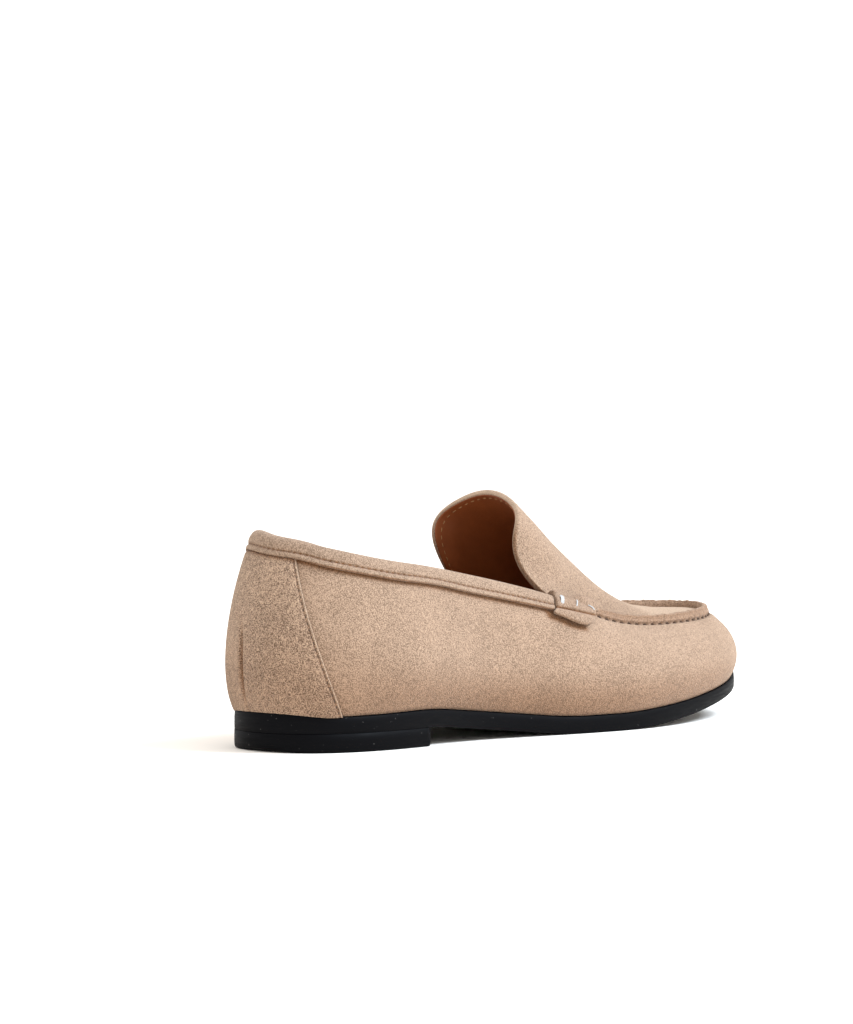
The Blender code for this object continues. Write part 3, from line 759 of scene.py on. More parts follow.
def make_apron_tongue():
    face, normals, from_edge, suede = tongue_grid(0.0)
    along_mm, across_mm = tongue_places(0.0)
    flank = smooth_step(*FLANK_START, np.abs(2.0 * across_mm / TONGUE_BREADTH - 1.0))[None, :]
    edge = smooth_step(*CUT_BAND, from_edge)
    cut_edge = CUT_PALE * edge * (1.0 - FLANK_SPARED * flank)
    on_apron = smooth_step(*APRON_START, along_mm / TONGUE_LENGTH)[:, None]
    # Pale raw edge on the face near the cut, and painted light over the apron
    pale_edge_and_light = np.maximum(FACE_PALE * cut_edge, APRON_PAINTED_LIGHT * on_apron)
    # Painted shade on the cut edge along the flanks
    flank_shade = FLANK_PAINTED_SHADE * edge * flank
    grid = tongue_sheet(face, normals, rounding(from_edge, 0.3 * TONGUE_SUEDE_THICK), 0.0, suede)
    looped("apron_tongue_suede", grid, BEIGE_SUEDE, "apron_tongue",
           shade=sheet_loops(flank_shade, flank_shade), cut=sheet_loops(pale_edge_and_light, cut_edge))

    face, normals, from_edge, suede = tongue_grid(TONGUE_LINING_INSET)
    share = rounding(from_edge, 0.5 * TONGUE_LINING_THICK)
    grid = tongue_sheet(face, normals, share, suede + TONGUE_LINING_GAP, TONGUE_LINING_THICK)
    looped("tongue_lining", grid, COGNAC_LINING)


# Collar strip

STRIP_STATIONS = 640
STRIP_SEAM_UP = -4.0
STRIP_SEAM_DEEP = 0.6
STRIP_PUCKER = 0.1
RIBBON_CORNER = 0.7
STRIP_SEAM_WIDTH = 0.6
STRIP_SWELLS = ((0.25, -1.9, 1.3), (0.12, -5.3, 0.6))
STRIP_HANG_TOP = -2.0
STRIP_EDGE_UP = 0.4
STRIP_FOLD_TURN = (12.0, 168.0)
# Painted shade in the strip's groove, with its change along a stitch, and on its lower edge
STRIP_SEAM_SHADE = (0.68, 0.32)
STRIP_SHADE_WIDTH = 0.45
STRIP_EDGE_SHADE = 0.8
STRIP_EDGE_BAND = (-5.9, -6.4)
STRIP_DROOP_WAVES = ((0.18, 15.0, 0.0), (0.12, 5.3, 1.0))
STRIP_FOLD_WAVES = ((0.1, 9.0, 0.0),)


def ribbon_loop(path, thickness):
    """Closed loops round paths in a plane: both faces of a ribbon and its two rounded edges."""
    half = 0.5 * thickness
    way = unit(np.gradient(path, axis=-2))
    side = np.stack([way[..., 1], -way[..., 0]], axis=-1) * half
    start = path[..., :1, :] - RIBBON_CORNER * half * way[..., :1, :]
    end = path[..., -1:, :] + RIBBON_CORNER * half * way[..., -1:, :]
    start_side = RIBBON_CORNER * side[..., :1, :]
    end_side = RIBBON_CORNER * side[..., -1:, :]
    outer = [start + start_side, path + side, end + end_side]
    inner = [end - end_side, (path - side)[..., ::-1, :], start - start_side]
    return np.concatenate(outer + inner, axis=-2)


def strip_ends():
    """Ring places of the strip's ends, close behind the tabs, going round the heel from the inner one."""
    trail = ring_place(TAB_ENDS["inner"][0] - 2 * GAP, "inner")
    lead = ring_place(TAB_ENDS["outer"][0] - 2 * GAP, "outer")
    return trail, 1.0 + lead


def strip_path(t):
    """Middle of the folded strip in the plane of each section: out of the wall and up from its edge."""
    run = (t * RING_LENGTH)[:, None]
    mid = GAP + 0.5 * STRIP_THICK
    leg_up = np.linspace(-STRIP_OUTER_LEG + STRIP_EDGE_UP, -STRIP_FOLD_DROP, 26)[None, :]
    droop = waves(run, STRIP_DROOP_WAVES)
    hang = smooth_step(STRIP_HANG_TOP, -STRIP_OUTER_LEG, leg_up)
    pull = STRIP_SEAM_DEEP + STRIP_PUCKER * np.cos(2 * np.pi * run / STRIP_PITCH)
    leg_out = mid - pull * bell(leg_up - STRIP_SEAM_UP, STRIP_SEAM_WIDTH) + bells(leg_up, STRIP_SWELLS)
    leg_up = leg_up + droop * hang
    turn = np.radians(np.linspace(*STRIP_FOLD_TURN, 14))[None, :]
    radius = 0.5 * WALL + mid
    fold_out = -0.5 * WALL + radius * np.cos(turn) + 0 * run
    fold_up = radius * np.sin(turn) - STRIP_FOLD_DROP + waves(run, STRIP_FOLD_WAVES)
    inner_up = np.linspace(-STRIP_FOLD_DROP, -STRIP_INNER_LEG, 6)[None, :] + 0 * run
    inner_out = -0.5 * WALL - radius - GAP * np.linspace(0.0, 1.0, 6)[None, :] + 0 * run
    outs = np.concatenate([leg_out, fold_out, inner_out], axis=1)
    ups = np.concatenate([leg_up, fold_up, inner_up], axis=1)
    return np.stack([outs, ups], axis=-1)


def strip_shade(t, loops):
    """Painted shade in the strip's sewn groove, puckered about once a stitch, and on its turned-in lower
    edge.
    """
    run = (t * RING_LENGTH)[:, None]
    up = loops[..., 1]
    usual, change = STRIP_SEAM_SHADE
    sewn = usual + change * np.cos(2 * np.pi * run / STRIP_PITCH)
    groove = bell(up - STRIP_SEAM_UP, STRIP_SHADE_WIDTH) * sewn
    return np.where(loops[..., 0] > 0, groove + STRIP_EDGE_SHADE * smooth_step(*STRIP_EDGE_BAND, up), 0.0)


def on_edge(t, places):
    """World points for places (out, up) in the sections' planes at the wall's edge."""
    top, up, out = edge_frame(t)
    return top[:, None] + out[:, None] * places[..., :1] + up[:, None] * places[..., 1:]


def make_collar_strip():
    t = np.linspace(*strip_ends(), STRIP_STATIONS)
    loops = ribbon_loop(strip_path(t), STRIP_THICK)
    # The ends lean as the tabs do
    lean = TAB_LEAN[0] * np.clip(-loops[..., 1] / TAB_DROP, 0.0, 1.0) * (loops[..., 0] > 0)
    towards_outer = np.linspace(-1.0, 1.0, len(t))[:, None]
    grid = on_edge(t, loops)
    along = unit(np.gradient(grid, axis=0))
    grid -= along * (lean * towards_outer)[..., None]
    looped("collar_strip_suede", grid, TRIM_SUEDE, "collar_strip", shade=strip_shade(t, loops))


# Heel counter

COUNTER_HIGH = 62.0
COUNTER_V = np.concatenate([[0.0, 0.004, 0.012], np.linspace(0.025, 0.93, 110), [0.94, 0.948, 0.953]])
COUNTER_TOP_V = 0.955
COUNTER_STATIONS = 150
COUNTER_UNDER = 0.12
COUNTER_SEAM_IN = 1.1
COUNTER_SEAM_DEEP = 0.35
COUNTER_SEAM_WIDTH = 0.45
# Painted shade in the counter's sewn edge
COUNTER_SEAM_SHADE = 0.35
COUNTER_SHADE_WIDTH = 0.42
COUNTER_TOP_SINK = 0.75
COUNTER_TOP_BAND = (0.925, 0.948)
COUNTER_HEM = 0.08
COUNTER_EDGE_SHARE = 0.35
COUNTER_CUT = 0.3
COUNTER_CUT_BAND = (0.6, 0.3)
COUNTER_EDGE_ROWS = np.array([0.0, 0.1, 0.25, 0.45, 0.65, 0.85, 1.1, 1.35, 1.6, 2.0])
COUNTER_EDGE_BAND = 2.5
DART_RUN = {"top": -5.8, "foot": -4.0}
DART_TOP = 0.66
DART_FADE = 0.25
DART_HOOK = 0.9
DART_HOOK_START = 0.45
DART_FOOT_SHARE = 0.25
DART_FOOT_BAND = (0.05, 0.3)
DART_FORMS = ((-0.8, 0.0, 0.6), (0.25, -1.9, 1.4))
# Painted shade along the dart: height, place and width
DART_SHADES = ((0.45, 0.0, 0.5), (0.25, -0.8, 1.1))
DART_STATIONS = np.linspace(0.435, 0.52, 36)


def counter_places(v):
    """Runs of the counter's inner and outer front edges at heights v."""
    runs = [blend(edge["foot_run"], edge["top_run"], v) for edge in COUNTER_EDGE.values()]
    return -runs[1], runs[0]


def from_dart(run, v):
    """Distance from the dart down the heel, and how much of the dart there is at that height."""
    dart = blend(DART_RUN["foot"], DART_RUN["top"], v)
    dart = dart - DART_HOOK * smooth_step(DART_HOOK_START, DART_TOP, v)
    low_part = blend(DART_FOOT_SHARE, 1.0, smooth_step(*DART_FOOT_BAND, v))
    return run - dart, smooth_step(DART_TOP, DART_TOP - DART_FADE, v) * low_part


def counter_lift(run, v, from_front):
    """Outer face of the counter above the quarters, with its sewn edge and the dart down the heel."""
    lift = GAP + COUNTER_THICK - COUNTER_TOP_SINK * smooth_step(*COUNTER_TOP_BAND, v)
    lift = lift - COUNTER_SEAM_DEEP * bell(from_front - COUNTER_SEAM_IN, COUNTER_SEAM_WIDTH)
    away, reach = from_dart(run, v)
    return lift + reach * bells(away, DART_FORMS)


def counter_shade(run, v, from_front):
    """Painted shade on the counter's nap: in its sewn edge, in the dart, under the strip and low at the
    sole.
    """
    away, reach = from_dart(run, v)
    sewn = COUNTER_SEAM_SHADE * bell(from_front - COUNTER_SEAM_IN, COUNTER_SHADE_WIDTH)
    dart = reach * bells(away, DART_SHADES)
    t = run / RING_LENGTH
    return np.clip(sewn + dart + low_shade(t, v) + strip_shadow(t, v), 0.0, 1.0)


def make_counter():
    v = COUNTER_V[None, :]
    start, end = counter_places(v)
    even = np.linspace(0.0, 1.0, COUNTER_STATIONS)
    away = even[(even < DART_STATIONS[0]) | (even > DART_STATIONS[-1])]
    share = np.sort(np.concatenate([away, DART_STATIONS]))[:, None]
    middle = start + COUNTER_EDGE_BAND + (end - start - 2 * COUNTER_EDGE_BAND) * share
    edge_rows = COUNTER_EDGE_ROWS[:, None]
    run = np.concatenate([start + edge_rows, middle, end - edge_rows[::-1]])
    from_front = np.minimum(run - start, end - run)
    height = v * COUNTER_HIGH
    from_ends = np.minimum(height, COUNTER_TOP_V * COUNTER_HIGH - height) + COUNTER_HEM
    from_edge = np.minimum(from_front, from_ends)
    thick = blend(COUNTER_EDGE_SHARE, 1.0, rounding(from_edge, 0.5 * COUNTER_THICK))
    face = counter_lift(run, v, from_front)
    t = run / RING_LENGTH
    outer = wall(t, v, blend(COUNTER_UNDER, face, thick))
    inner = wall(t, v, COUNTER_UNDER)
    shade = counter_shade(run, v, from_front)
    cut = COUNTER_CUT * smooth_step(*COUNTER_CUT_BAND, from_front)
    looped("counter_suede", sheet_loops(outer, inner), COUNTER_SUEDE, "counter",
           shade=sheet_loops(shade, np.zeros_like(shade)), cut=sheet_loops(cut, cut))


# Side tabs

TAB_ROWS = 60
TAB_STATIONS = 46
TAB_EDGE_ROWS = np.array([0.0, 0.15, 0.4])
TAB_EDGE_BAND = 0.8
TAB_GROOVE = 0.49
TAB_GROOVE_WIDTH = 0.55
TAB_GROOVE_SHADE = 0.85
TAB_ROLL = {"place": 0.23, "half": 0.26, "high": 1.6}
TAB_FLAP = {"place": 0.77, "half": 0.28, "high": 1.4}
TAB_CORNERS = {"back": (1.8, 3.0), "front": (4.5, 4.6)}
TAB_SHADE = 0.13
TAB_SUNK = 0.5
TAB_EAR = ((1.3, 1.0, 1.2),)
FLAP_START = (0.5, 0.72)
FLAP_SLANT = 2.6
FLAP_SLANT_END = 0.75
FLAP_TIP = 1.7
FLAP_END_SHARE = 0.75
FLAP_LOOSE = 0.9
FLAP_LOOSE_START = 0.62
FLAP_EDGE_SHADE = 0.3
FLAP_EDGE_START = 0.93
# Painted shadow under each tab's loose flap
FLAP_SHADOW_BACK = 1.0
FLAP_SHADOW_FADE = 1.5
FLAP_SHADOW_FRONT_FADE = 2.5
FLAP_SHADOW_DOWN = 0.4
FLAP_SHADOW_WIDTH = 1.3
FLAP_SHADOW_RISE = (6.0, 4.0)
ROLL_TURN = np.radians(np.arange(25.0, 151.0, 25.0))
ROLL_SUNK = 0.65
ROLL_UNDER = 1.1
ROLL_END_SHADE = 0.6


def tab_places(side, share, hang):
    """Ring places on a tab: share 0 at its back to 1 at its front, hang 0 at the edge to 1 at its foot."""
    back, front = TAB_ENDS[side]
    lean = blend(*TAB_LEAN, share)
    tip = FLAP_TIP * (1.0 - share) * smooth_step(*FLAP_START, hang)
    return ring_place(blend(back, front, share) - lean * hang - tip, side)


def tab_height(side, hang_mm):
    """Heights v on the wall for distances below its edge."""
    low = 1.0 - (TAB_DROP - COLLAR_BAND) / wall_speed(T_TAB[side])
    below = low + (1.0 - low) * (TAB_DROP - hang_mm) / (TAB_DROP - COLLAR_BAND)
    return np.where(hang_mm > COLLAR_BAND, below, 2.0 - hang_mm / COLLAR_BAND)


def swelling(hang, form):
    """Height in mm of a round swelling across a tab."""
    return form["high"] * np.sqrt(np.clip(1.0 - ((hang - form["place"]) / form["half"]) ** 2, 0.0, 1.0))


def tab_lift(hang, share):
    """Outer face of a tab: a rolled band on top, a sewn groove under it, and a loose flap below."""
    ends = blend(FLAP_END_SHARE, 1.0, np.sin(np.pi * np.clip(share, 0.0, 1.0)))
    form = np.maximum(swelling(hang, TAB_ROLL), swelling(hang, TAB_FLAP) * ends)
    return TAB_GAP + TAB_THICK - TAB_SUNK + form


def flap_drop(share):
    """How far in mm the slanting lower edge of the flap hangs below the top of a tab."""
    return TAB_DROP - FLAP_SLANT * smooth_step(FLAP_SLANT_END, 0.0, share)


def tab_trim(hang_mm, end):
    """How far in mm the rounded lower corner at one end of a tab is cut back."""
    length, height = TAB_CORNERS[end]
    into = np.clip(1.0 - (TAB_DROP - hang_mm) / height, 0.0, 1.0)
    return length * (1.0 - np.sqrt(1.0 - into**2))


def tab_shadow(t, v):
    """Painted shadow on the nap behind and under the loose flap of each tab."""
    hang_mm = COLLAR_BAND - above_seam(t, v)
    x = section_at(t)[..., 0]
    shade = 0.0
    for side, (back, front) in TAB_ENDS.items():
        start = back - TAB_LEAN[0] - FLAP_TIP - FLAP_SHADOW_BACK
        end = front - TAB_LEAN[1] - FLAP_SHADOW_BACK
        along = smooth_step(start - FLAP_SHADOW_FADE, start + FLAP_SHADOW_FADE, x)
        along = along * smooth_step(end + FLAP_SHADOW_FADE, end - FLAP_SHADOW_FRONT_FADE, x)
        on_side = (t % 1.0 < T_TOE) == (side == "outer")
        drop = flap_drop(np.clip((x - start) / (end - start), 0.0, 1.0))
        below = np.maximum(hang_mm - drop - FLAP_SHADOW_DOWN, 0.0)
        shade = shade + along * bell(below, FLAP_SHADOW_WIDTH) * on_side
    low, high = FLAP_SHADOW_RISE
    return shade * smooth_step(TAB_DROP - low, TAB_DROP - high, hang_mm)


def make_side_tab(name, side, node):
    rows = np.linspace(TAB_DROP - TAB_EDGE_BAND, 0.0, TAB_ROWS)
    hang_mm = np.concatenate([TAB_DROP - TAB_EDGE_ROWS, rows])[None, :]
    hang = hang_mm / TAB_DROP
    length = TAB_ENDS[side][1] - TAB_ENDS[side][0]
    share_mm = edged(length, length / TAB_STATIONS, TAB_EDGE_BAND)[:, None]
    back_cut = tab_trim(hang_mm, "back")
    front_cut = tab_trim(hang_mm, "front")
    share = (back_cut + share_mm * (length - back_cut - front_cut) / length) / length
    in_flap = np.clip((hang - TAB_GROOVE) / (1.0 - TAB_GROOVE), 0.0, 1.0)
    slanted = hang - in_flap * (1.0 - flap_drop(share) / TAB_DROP)
    t = tab_places(side, share, slanted)
    v = tab_height(side, slanted * TAB_DROP)
    from_edge = np.minimum(np.minimum(share_mm, length - share_mm), TAB_DROP - hang_mm)
    face = tab_lift(hang, share)
    under = TAB_GAP + FLAP_LOOSE * smooth_step(FLAP_LOOSE_START, 1.0, hang)
    mid = 0.5 * (face + under)
    half = 0.5 * (face - under) * rounding(from_edge, 0.5 * TAB_THICK)
    # The top rolls over the edge, with an ear at its back end
    top, up, out = edge_frame(t[:, -1])
    centre = top - out * ROLL_SUNK
    radius = ROLL_SUNK + (mid + half)[:, -1:] + bells(share_mm, TAB_EAR)
    ways = [out * np.cos(turn) + up * np.sin(turn) for turn in ROLL_TURN]
    roll = np.stack([centre + way * radius for way in ways], axis=1)
    under_roll = np.stack([centre + way * ROLL_UNDER for way in ways], axis=1)
    outer = np.concatenate([wall(t, v, mid + half), roll], axis=1)
    inner = np.concatenate([wall(t, v, mid - half), under_roll], axis=1)
    # Painted shade on the tab: a little all over, more in its groove and at the flap's lower edge, darker
    # round the roll
    groove = TAB_GROOVE_SHADE * bell((hang - TAB_GROOVE) * TAB_DROP, TAB_GROOVE_WIDTH)
    flap_edge = FLAP_EDGE_SHADE * smooth_step(FLAP_EDGE_START, 1.0, hang)
    shade = np.zeros(outer.shape[:2])
    shade[:, :hang.shape[1]] = TAB_SHADE + groove + flap_edge
    shade[:, hang.shape[1]:] = np.linspace(TAB_SHADE, ROLL_END_SHADE, len(ROLL_TURN))
    looped(name, sheet_loops(outer, inner), TRIM_SUEDE, node,
           shade=sheet_loops(shade, np.zeros_like(shade)))


# Sole pieces

# Rims from the top round the edge to the underside: inset, share of the height, and a step up
SOLE_RIMS = ((1.2, 1.0, 0.0), (0.25, 1.0, -0.02), (0.02, 1.0, -0.3), (-0.1, 0.6, 0.0), (-0.1, 0.35, 0.0),
             (-0.07, 0.0, 0.2), (0.03, 0.0, 0.05), (0.3, 0.0, 0.0), (2.5, 0.0, 0.0))
HEEL_RIMS = ((2.5, 1.0, 0.0), (0.1, 1.0, 0.0), (-0.05, 1.0, -0.1), (-0.1, 0.6, 0.0), (-0.1, 0.35, 0.0),
             (0.0, 0.0, 0.9), (0.25, 0.0, 0.35), (0.8, 0.0, 0.0), (2.5, 0.0, 0.0))
SOCK_EDGE = INSOLE_INSET - SOCK_OVER
SOCK_RIMS = ((SOCK_EDGE + 1.0, 1.0, 0.0), (SOCK_EDGE + 0.2, 1.0, -0.15), (SOCK_EDGE, 1.0, -0.5),
             (SOCK_EDGE, 0.1, 0.0), (SOCK_EDGE + 0.6, 0.0, 0.0))
PLAN_POINTS = 3000
PLAN_MARGIN = 0.02
MIDDLE_SHARE = 0.05
BREAST_MARGIN = 0.002
HEEL_JOINT = 0.05
HEEL_RUB = 1.2
HEEL_RUB_END_X = 10.0


def plan_edge(inset):
    """The sole's edge in plan, moved in by inset: from its back round the outer side."""
    t = np.linspace(0.0, 1.0, PLAN_POINTS, endpoint=False)
    edge = section_at(t)[:, :2] - outward(t) * inset
    return np.roll(edge, -np.argmin(edge[:, 0]), axis=0)


def sole_loops(stations, top, bottom, rims, columns=6):
    """Loops across a sole piece at stations 0 to 1: its top, its rims and its underside."""
    outer_side = []
    inner_side = []
    for inset, share, step in rims:
        edge = plan_edge(inset)
        front = np.argmax(edge[:, 0])
        low, high = edge[0, 0], edge[front, 0]
        x = low + PLAN_MARGIN + (high - low - 2 * PLAN_MARGIN) * stations
        outer = np.interp(x, *edge[:front + 1].T)
        inner = np.interp(x, *edge[front:][::-1].T)
        z = top(x) * share + bottom(x) * (1.0 - share) + step
        outer_side.append(np.stack([x, outer, z], axis=-1))
        inner_side.append(np.stack([x, inner, z], axis=-1))
    outer_side = np.stack(outer_side, axis=1)
    inner_side = np.stack(inner_side, axis=1)
    middle = 0.5 * (outer_side + inner_side)
    across = np.linspace(MIDDLE_SHARE, 1.0, columns)[None, :-1, None]

    def half_loop(side):
        top_row = blend(middle[:, :1], side[:, :1], across)
        under_row = blend(middle[:, -1:], side[:, -1:], across)
        return np.concatenate([top_row, side, under_row[:, ::-1]], axis=1)

    return sheet_loops(half_loop(outer_side), half_loop(inner_side))


def round_ended(count):
    """Stations from 0 to 1 that crowd at both ends, where the outline turns."""
    return 0.5 * (1.0 - np.cos(np.pi * np.linspace(0.0, 1.0, count)))


def cut_at(stations, front_x):
    """The stations up to a straight front."""
    xs = plan_edge(0.0)[:, 0]
    limit = (front_x - xs.min()) / (xs.max() - xs.min())
    return np.append(stations[stations < limit - BREAST_MARGIN], limit)


def heel_top(x):
    return sole_bottom(x) - HEEL_JOINT


def heel_bottom(x):
    """Flat on the floor, with its back edge rubbed round."""
    return HEEL_RUB * smooth_step(HEEL_RUB_END_X, 0.0, x) ** 2


def sock_bottom(x):
    return sole_top(x) + GAP


def sock_top(x):
    return sock_bottom(x) + INSOLE_THICK


def make_sole():
    stations = round_ended(240)
    grid = sole_loops(stations, sole_top, sole_bottom, SOLE_RIMS)
    looped("outsole_edge_dyed", grid, BLACK_SOLE, "outsole")
    grid = sole_loops(cut_at(stations, HEEL_BREAST_X), heel_top, heel_bottom, HEEL_RIMS)
    looped("heel_block", grid, BLACK_HEEL, "heel")
    grid = sole_loops(round_ended(160), sock_top, sock_bottom, SOCK_RIMS, columns=8)
    looped("sock_leather", grid, COGNAC_LINING, "insole")


# Sewing, as rows of stitches set on points along the seams

STITCH_SIZES = ("Stitch length", "Thread thickness", "Arch", "Sink")
TACK_LENGTH = 4.2
STITCHES = {
    "collar_stitches": (2.0, 0.42, 0.25, 0.3),
    "counter_stitches": (1.4, 0.6, 0.2, 0.25),
    "moccasin_hole_shade": (1.7, 1.7, 0.4, 0.6),
    "tongue_lining_stitches": (1.5, 0.42, 0.3, 0.15),
    "tongue_stitches": (1.7, 0.42, 0.22, 0.22),
    "tab_tacks": (TACK_LENGTH, 0.4, 0.9, 0.6),
}
STITCH_SEED = 7
STITCH_UNEVEN = ((0.88, 0.9, 0.85), (1.08, 1.1, 1.12))
ROW_LIFT = {"collar": 0.12, "counter": -0.06, "moccasin": 0.15, "tacks": 0.3}
STRIP_END_MARGIN = 0.002
MOCCASIN_SEAM_V = 1.09
TONGUE_SEAM_IN = 2.7
# How many threads lie side by side in the tacks at these shares of a tab's length
TACKS = {0.12: 6, 0.47: 2, 0.8: 2}
TACK_HANG = 0.19
TACK_STEP = 0.3


def sewn_row_tree():
    """A stitch on every point: an arched thread along the seam, its ends sunk in the suede."""
    tree = bpy.data.node_groups.new("sewn_row", "GeometryNodeTree")
    face = tree.interface
    face.new_socket(name="Geometry", in_out="INPUT", socket_type="NodeSocketGeometry")
    for name in STITCH_SIZES:
        face.new_socket(name=name, in_out="INPUT", socket_type="NodeSocketFloat")
    face.new_socket(name="Thread", in_out="INPUT", socket_type="NodeSocketMaterial")
    face.new_socket(name="Geometry", in_out="OUTPUT", socket_type="NodeSocketGeometry")
    given = add_node(tree, "NodeGroupInput").outputs
    half, back, down, radius = (
        add_node(tree, "ShaderNodeMath", {"operation": "MULTIPLY"}, {0: given[size], 1: factor}).outputs[0]
        for size, factor in (("Stitch length", 0.5), ("Stitch length", -0.5), ("Sink", -1.0),
                             ("Thread thickness", 0.5)))
    start = add_node(tree, "ShaderNodeCombineXYZ", {}, {"X": back, "Z": down})
    middle = add_node(tree, "ShaderNodeCombineXYZ", {}, {"Z": given["Arch"]})
    end = add_node(tree, "ShaderNodeCombineXYZ", {}, {"X": half, "Z": down})
    arc = add_node(tree, "GeometryNodeCurveQuadraticBezier", {}, {
        "Resolution": 6, "Start": start.outputs[0], "Middle": middle.outputs[0], "End": end.outputs[0]})
    ring = add_node(tree, "GeometryNodeCurvePrimitiveCircle", {}, {"Resolution": 6, "Radius": radius})
    stitch = add_node(tree, "GeometryNodeCurveToMesh", {}, {
        "Curve": arc.outputs[0], "Profile Curve": ring.outputs[0], "Fill Caps": True})
    out, along = (
        add_node(tree, "GeometryNodeInputNamedAttribute", {"data_type": "FLOAT_VECTOR"}, {"Name": name})
        for name in ("out", "along"))
    turn = add_node(tree, "FunctionNodeAxesToRotation", {"primary_axis": "Z", "secondary_axis": "X"}, {
        "Primary Axis": out.outputs[0], "Secondary Axis": along.outputs[0]})
    uneven = add_node(tree, "FunctionNodeRandomValue", {"data_type": "FLOAT_VECTOR"}, {
        0: STITCH_UNEVEN[0], 1: STITCH_UNEVEN[1], "Seed": STITCH_SEED})
    rows = add_node(tree, "GeometryNodeInstanceOnPoints", {}, {
        "Points": given["Geometry"], "Instance": stitch.outputs[0], "Rotation": turn.outputs[0],
        "Scale": uneven.outputs[0]})
    real = add_node(tree, "GeometryNodeRealizeInstances", {}, {"Geometry": rows.outputs[0]})
    smooth = add_node(tree, "GeometryNodeSetShadeSmooth", {}, {"Geometry": real.outputs[0]})
    dyed = add_node(tree, "GeometryNodeSetMaterial", {}, {
        "Geometry": smooth.outputs[0], "Material": given["Thread"]})
    add_node(tree, "NodeGroupOutput", {}, {"Geometry": dyed.outputs[0]})
    return tree


SEWN_ROW = sewn_row_tree()
SEWN_ROW_INPUTS = {
    item.name: item.identifier for item in SEWN_ROW.interface.items_tree if item.in_out == "INPUT"
}


def seam_points(path, normals, pitch):
    """Points a pitch apart along a path, with the way along it and the way out of the surface."""
    run = run_along(path)
    places = np.arange(0.5 * pitch, run[-1], pitch)
    along = unit(np.gradient(path, axis=0))

    def read(rows):
        return np.stack([np.interp(places, run, column) for column in rows.T], axis=-1)

    return read(path), unit(read(along)), unit(read(normals))


def wall_row(t, v, lift, pitch):
    """Points for stitches along the wall at ring places t and heights v."""
    path = wall(t, v, lift)
    return seam_points(path, wall(t, v, lift + 1.0) - path, pitch)


def sew(name, rows, thread):
    """One plain mesh of all the stitches of the given rows of (points, along, out), in mm."""
    points, along, out = (np.concatenate(parts) for parts in zip(*rows))
    mesh = bpy.data.meshes.new(name + "_points")
    mesh.from_pydata(((points - MIDDLE) * MM).tolist(), [], [])
    for label, vectors in (("along", along), ("out", out)):
        mesh.attributes.new(label, "FLOAT_VECTOR", "POINT").data.foreach_set("vector", vectors.ravel())
    carrier = bpy.data.objects.new(name + "_points", mesh)
    bpy.context.scene.collection.objects.link(carrier)
    modifier = carrier.modifiers.new("sewing", "NODES")
    modifier.node_group = SEWN_ROW
    for label, size in zip(STITCH_SIZES, STITCHES[name]):
        modifier[SEWN_ROW_INPUTS[label]] = size * MM
    modifier[SEWN_ROW_INPUTS["Thread"]] = thread
    view = bpy.context.evaluated_depsgraph_get()
    sewn = bpy.data.meshes.new_from_object(carrier.evaluated_get(view))
    sewn.name = name
    bpy.data.objects.remove(carrier)
    finished(name, sewn)


def sew_strip():
    trail, lead = strip_ends()
    t = np.linspace(trail + STRIP_END_MARGIN, lead - STRIP_END_MARGIN, 700)
    groove = GAP + STRIP_THICK - STRIP_SEAM_DEEP + ROW_LIFT["collar"]
    _, _, out = edge_frame(t)
    path = on_edge(t, np.array([[[groove, STRIP_SEAM_UP]]]))[:, 0]
    sew("collar_stitches", [seam_points(path, out, STRIP_PITCH)], BROWN_THREAD)


def sew_counter():
    rows = []
    v = np.linspace(0.02, 0.91, 120)
    for edge, inwards in zip(counter_places(v), (1.0, -1.0)):
        run = edge + inwards * COUNTER_SEAM_IN
        lift = counter_lift(run, v, COUNTER_SEAM_IN) + ROW_LIFT["counter"]
        rows.append(wall_row(run / RING_LENGTH, v, lift, COUNTER_PITCH))
    # The counter's stitches are dark as painted shade of their needle holes
    sew("counter_stitches", rows, HOLE_SHADE_THREAD)


def sew_moccasin_seam():
    # Dark stubs in each needle hole of the raised seam: painted shade
    lift = seam_relief(SEAM_T, MOCCASIN_SEAM_V) + ROW_LIFT["moccasin"]
    row = wall_row(SEAM_T, MOCCASIN_SEAM_V, lift, MOCCASIN_PITCH)
    sew("moccasin_hole_shade", [row], HOLE_SHADE_SUEDE)


def tongue_seam(grid, normals):
    """Path a few mm inside the tongue's free edge: up one flank, over the top and down the other."""
    along_mm, across_mm = tongue_places(0.0)
    row = np.searchsorted(along_mm, TONGUE_SEAM_IN)
    inside = (across_mm > TONGUE_SEAM_IN) & (across_mm < TONGUE_BREADTH - TONGUE_SEAM_IN)
    return seam_points(grid[row, inside], normals[row, inside], TONGUE_PITCH)


def sew_tongue():
    face, normals, _, suede = tongue_grid(0.0)
    under = face - normals * (suede + TONGUE_LINING_THICK + TONGUE_LINING_GAP)
    sew("tongue_lining_stitches", [tongue_seam(under, -normals)], TAN_THREAD)
    sew("tongue_stitches", [tongue_seam(face, normals)], SUEDE_THREAD)


def sew_tab_tacks():
    """White tacks that hold each tab's rolled band, as short upright threads side by side."""
    rows = []
    reach = 0.5 * TACK_LENGTH / TAB_DROP
    hang = np.linspace(TACK_HANG + reach, TACK_HANG - reach, 12)
    for side, (back, front) in TAB_ENDS.items():
        v = tab_height(side, hang * TAB_DROP)
        for share, threads in TACKS.items():
            for k in range(threads):
                aside = (k - 0.5 * (threads - 1)) * TACK_STEP
                here = np.full_like(hang, share + aside / (front - back))
                lift = tab_lift(hang, here) + ROW_LIFT["tacks"]
                row = wall_row(tab_places(side, here, hang), v, lift, TACK_STEP)
                middle = len(row[0]) // 2
                rows.append([part[middle:middle + 1] for part in row])
    sew("tab_tacks", rows, WHITE_THREAD)


make_sole()
make_upper()
make_apron_tongue()
make_collar_strip()
make_counter()
make_side_tab("side_tab_lateral_suede", "outer", "side_tab_lateral")
make_side_tab("side_tab_medial_suede", "inner", "side_tab_medial")
sew_strip()
sew_counter()
sew_moccasin_seam()
sew_tongue()
sew_tab_tacks()


# Floor and light, in metres, and camera, in mm

FLOOR_REACH = 6.0
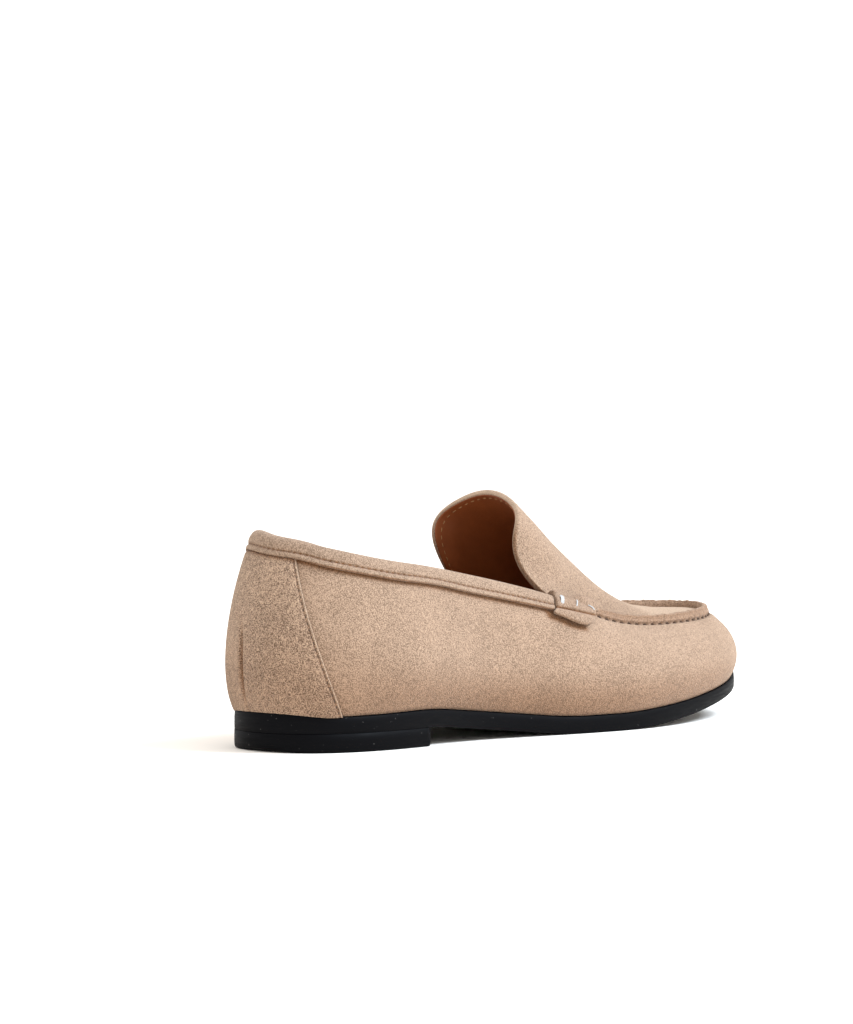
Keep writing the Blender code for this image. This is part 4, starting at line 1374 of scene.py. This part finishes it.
# The camera looks at the outer side from behind, about level with the shoe. The aim is up and to the left of
# the shoe's middle, which puts the shoe low and right in the frame, as in the photo.
CAMERA_AZIMUTH = -47.86
CAMERA_ELEVATION = 3.905
CAMERA_DISTANCE = 1800.0
CAMERA_TARGET = np.array([133.0, 0.0, 35.0])
AIM_RIGHT = -28.8
AIM_UP = 47.7
CAMERA_LENS = 165.8
CAMERA_SENSOR = 36.0


def make_floor():
    """White paper: matt, and so bright that only the shoe's shadow shows on it."""
    mesh = bpy.data.meshes.new("floor")
    corners = [(FLOOR_REACH * x, FLOOR_REACH * y, 0.0) for x, y in ((-1, -1), (1, -1), (1, 1), (-1, 1))]
    mesh.from_pydata(corners, [], [(0, 1, 2, 3)])
    material, tree, shader, _ = new_material("white_paper_floor")
    fill(tree, shader, {"Base Color": linear("#fcf6ee"), "Roughness": 0.9, "Specular IOR Level": 0.1})
    mesh.materials.append(material)
    floor = bpy.data.objects.new("floor", mesh)
    bpy.context.scene.collection.objects.link(floor)


def make_light(name, place, aim, size, power, colour):
    lamp = bpy.data.lights.new(name, "AREA")
    lamp.color = linear(colour)[:3]
    lamp.shape = "SQUARE"
    lamp.size = size
    lamp.energy = power
    holder = bpy.data.objects.new(name, lamp)
    holder.location = place
    holder.rotation_euler = (Vector(aim) - Vector(place)).to_track_quat("-Z", "Y").to_euler()
    bpy.context.scene.collection.objects.link(holder)


def make_world(strength):
    world = bpy.data.worlds.new("white_studio")
    world.use_nodes = True
    tree = world.node_tree
    fill(tree, tree.nodes["Background"], {"Color": linear("#ffffff"), "Strength": strength})
    bpy.context.scene.world = world


def make_camera():
    turn = np.radians(CAMERA_AZIMUTH)
    rise = np.radians(CAMERA_ELEVATION)
    back = np.array([np.sin(turn) * np.cos(rise), -np.cos(turn) * np.cos(rise), np.sin(rise)])
    right = np.array([np.cos(turn), np.sin(turn), 0.0])
    up = np.cross(back, right)
    place = (CAMERA_TARGET + back * CAMERA_DISTANCE - MIDDLE) * MM
    aim = (CAMERA_TARGET + right * AIM_RIGHT + up * AIM_UP - MIDDLE) * MM
    data = bpy.data.cameras.new("photo_angle")
    data.sensor_fit = "VERTICAL"
    data.sensor_height = CAMERA_SENSOR
    data.lens = CAMERA_LENS
    camera = bpy.data.objects.new("photo_angle", data)
    camera.location = place
    camera.rotation_euler = Vector(aim - place).to_track_quat("-Z", "Y").to_euler()
    bpy.context.scene.collection.objects.link(camera)
    bpy.context.scene.camera = camera


make_floor()
make_light(
    "key_softbox", place=(0.8, -1.2, 1.6), aim=(0.0, 0.0, 0.03), size=1.0, power=69.0, colour="#e1f0ff")
make_world(strength=1.3)
make_camera()
bpy.context.scene.view_settings.view_transform = "Standard"
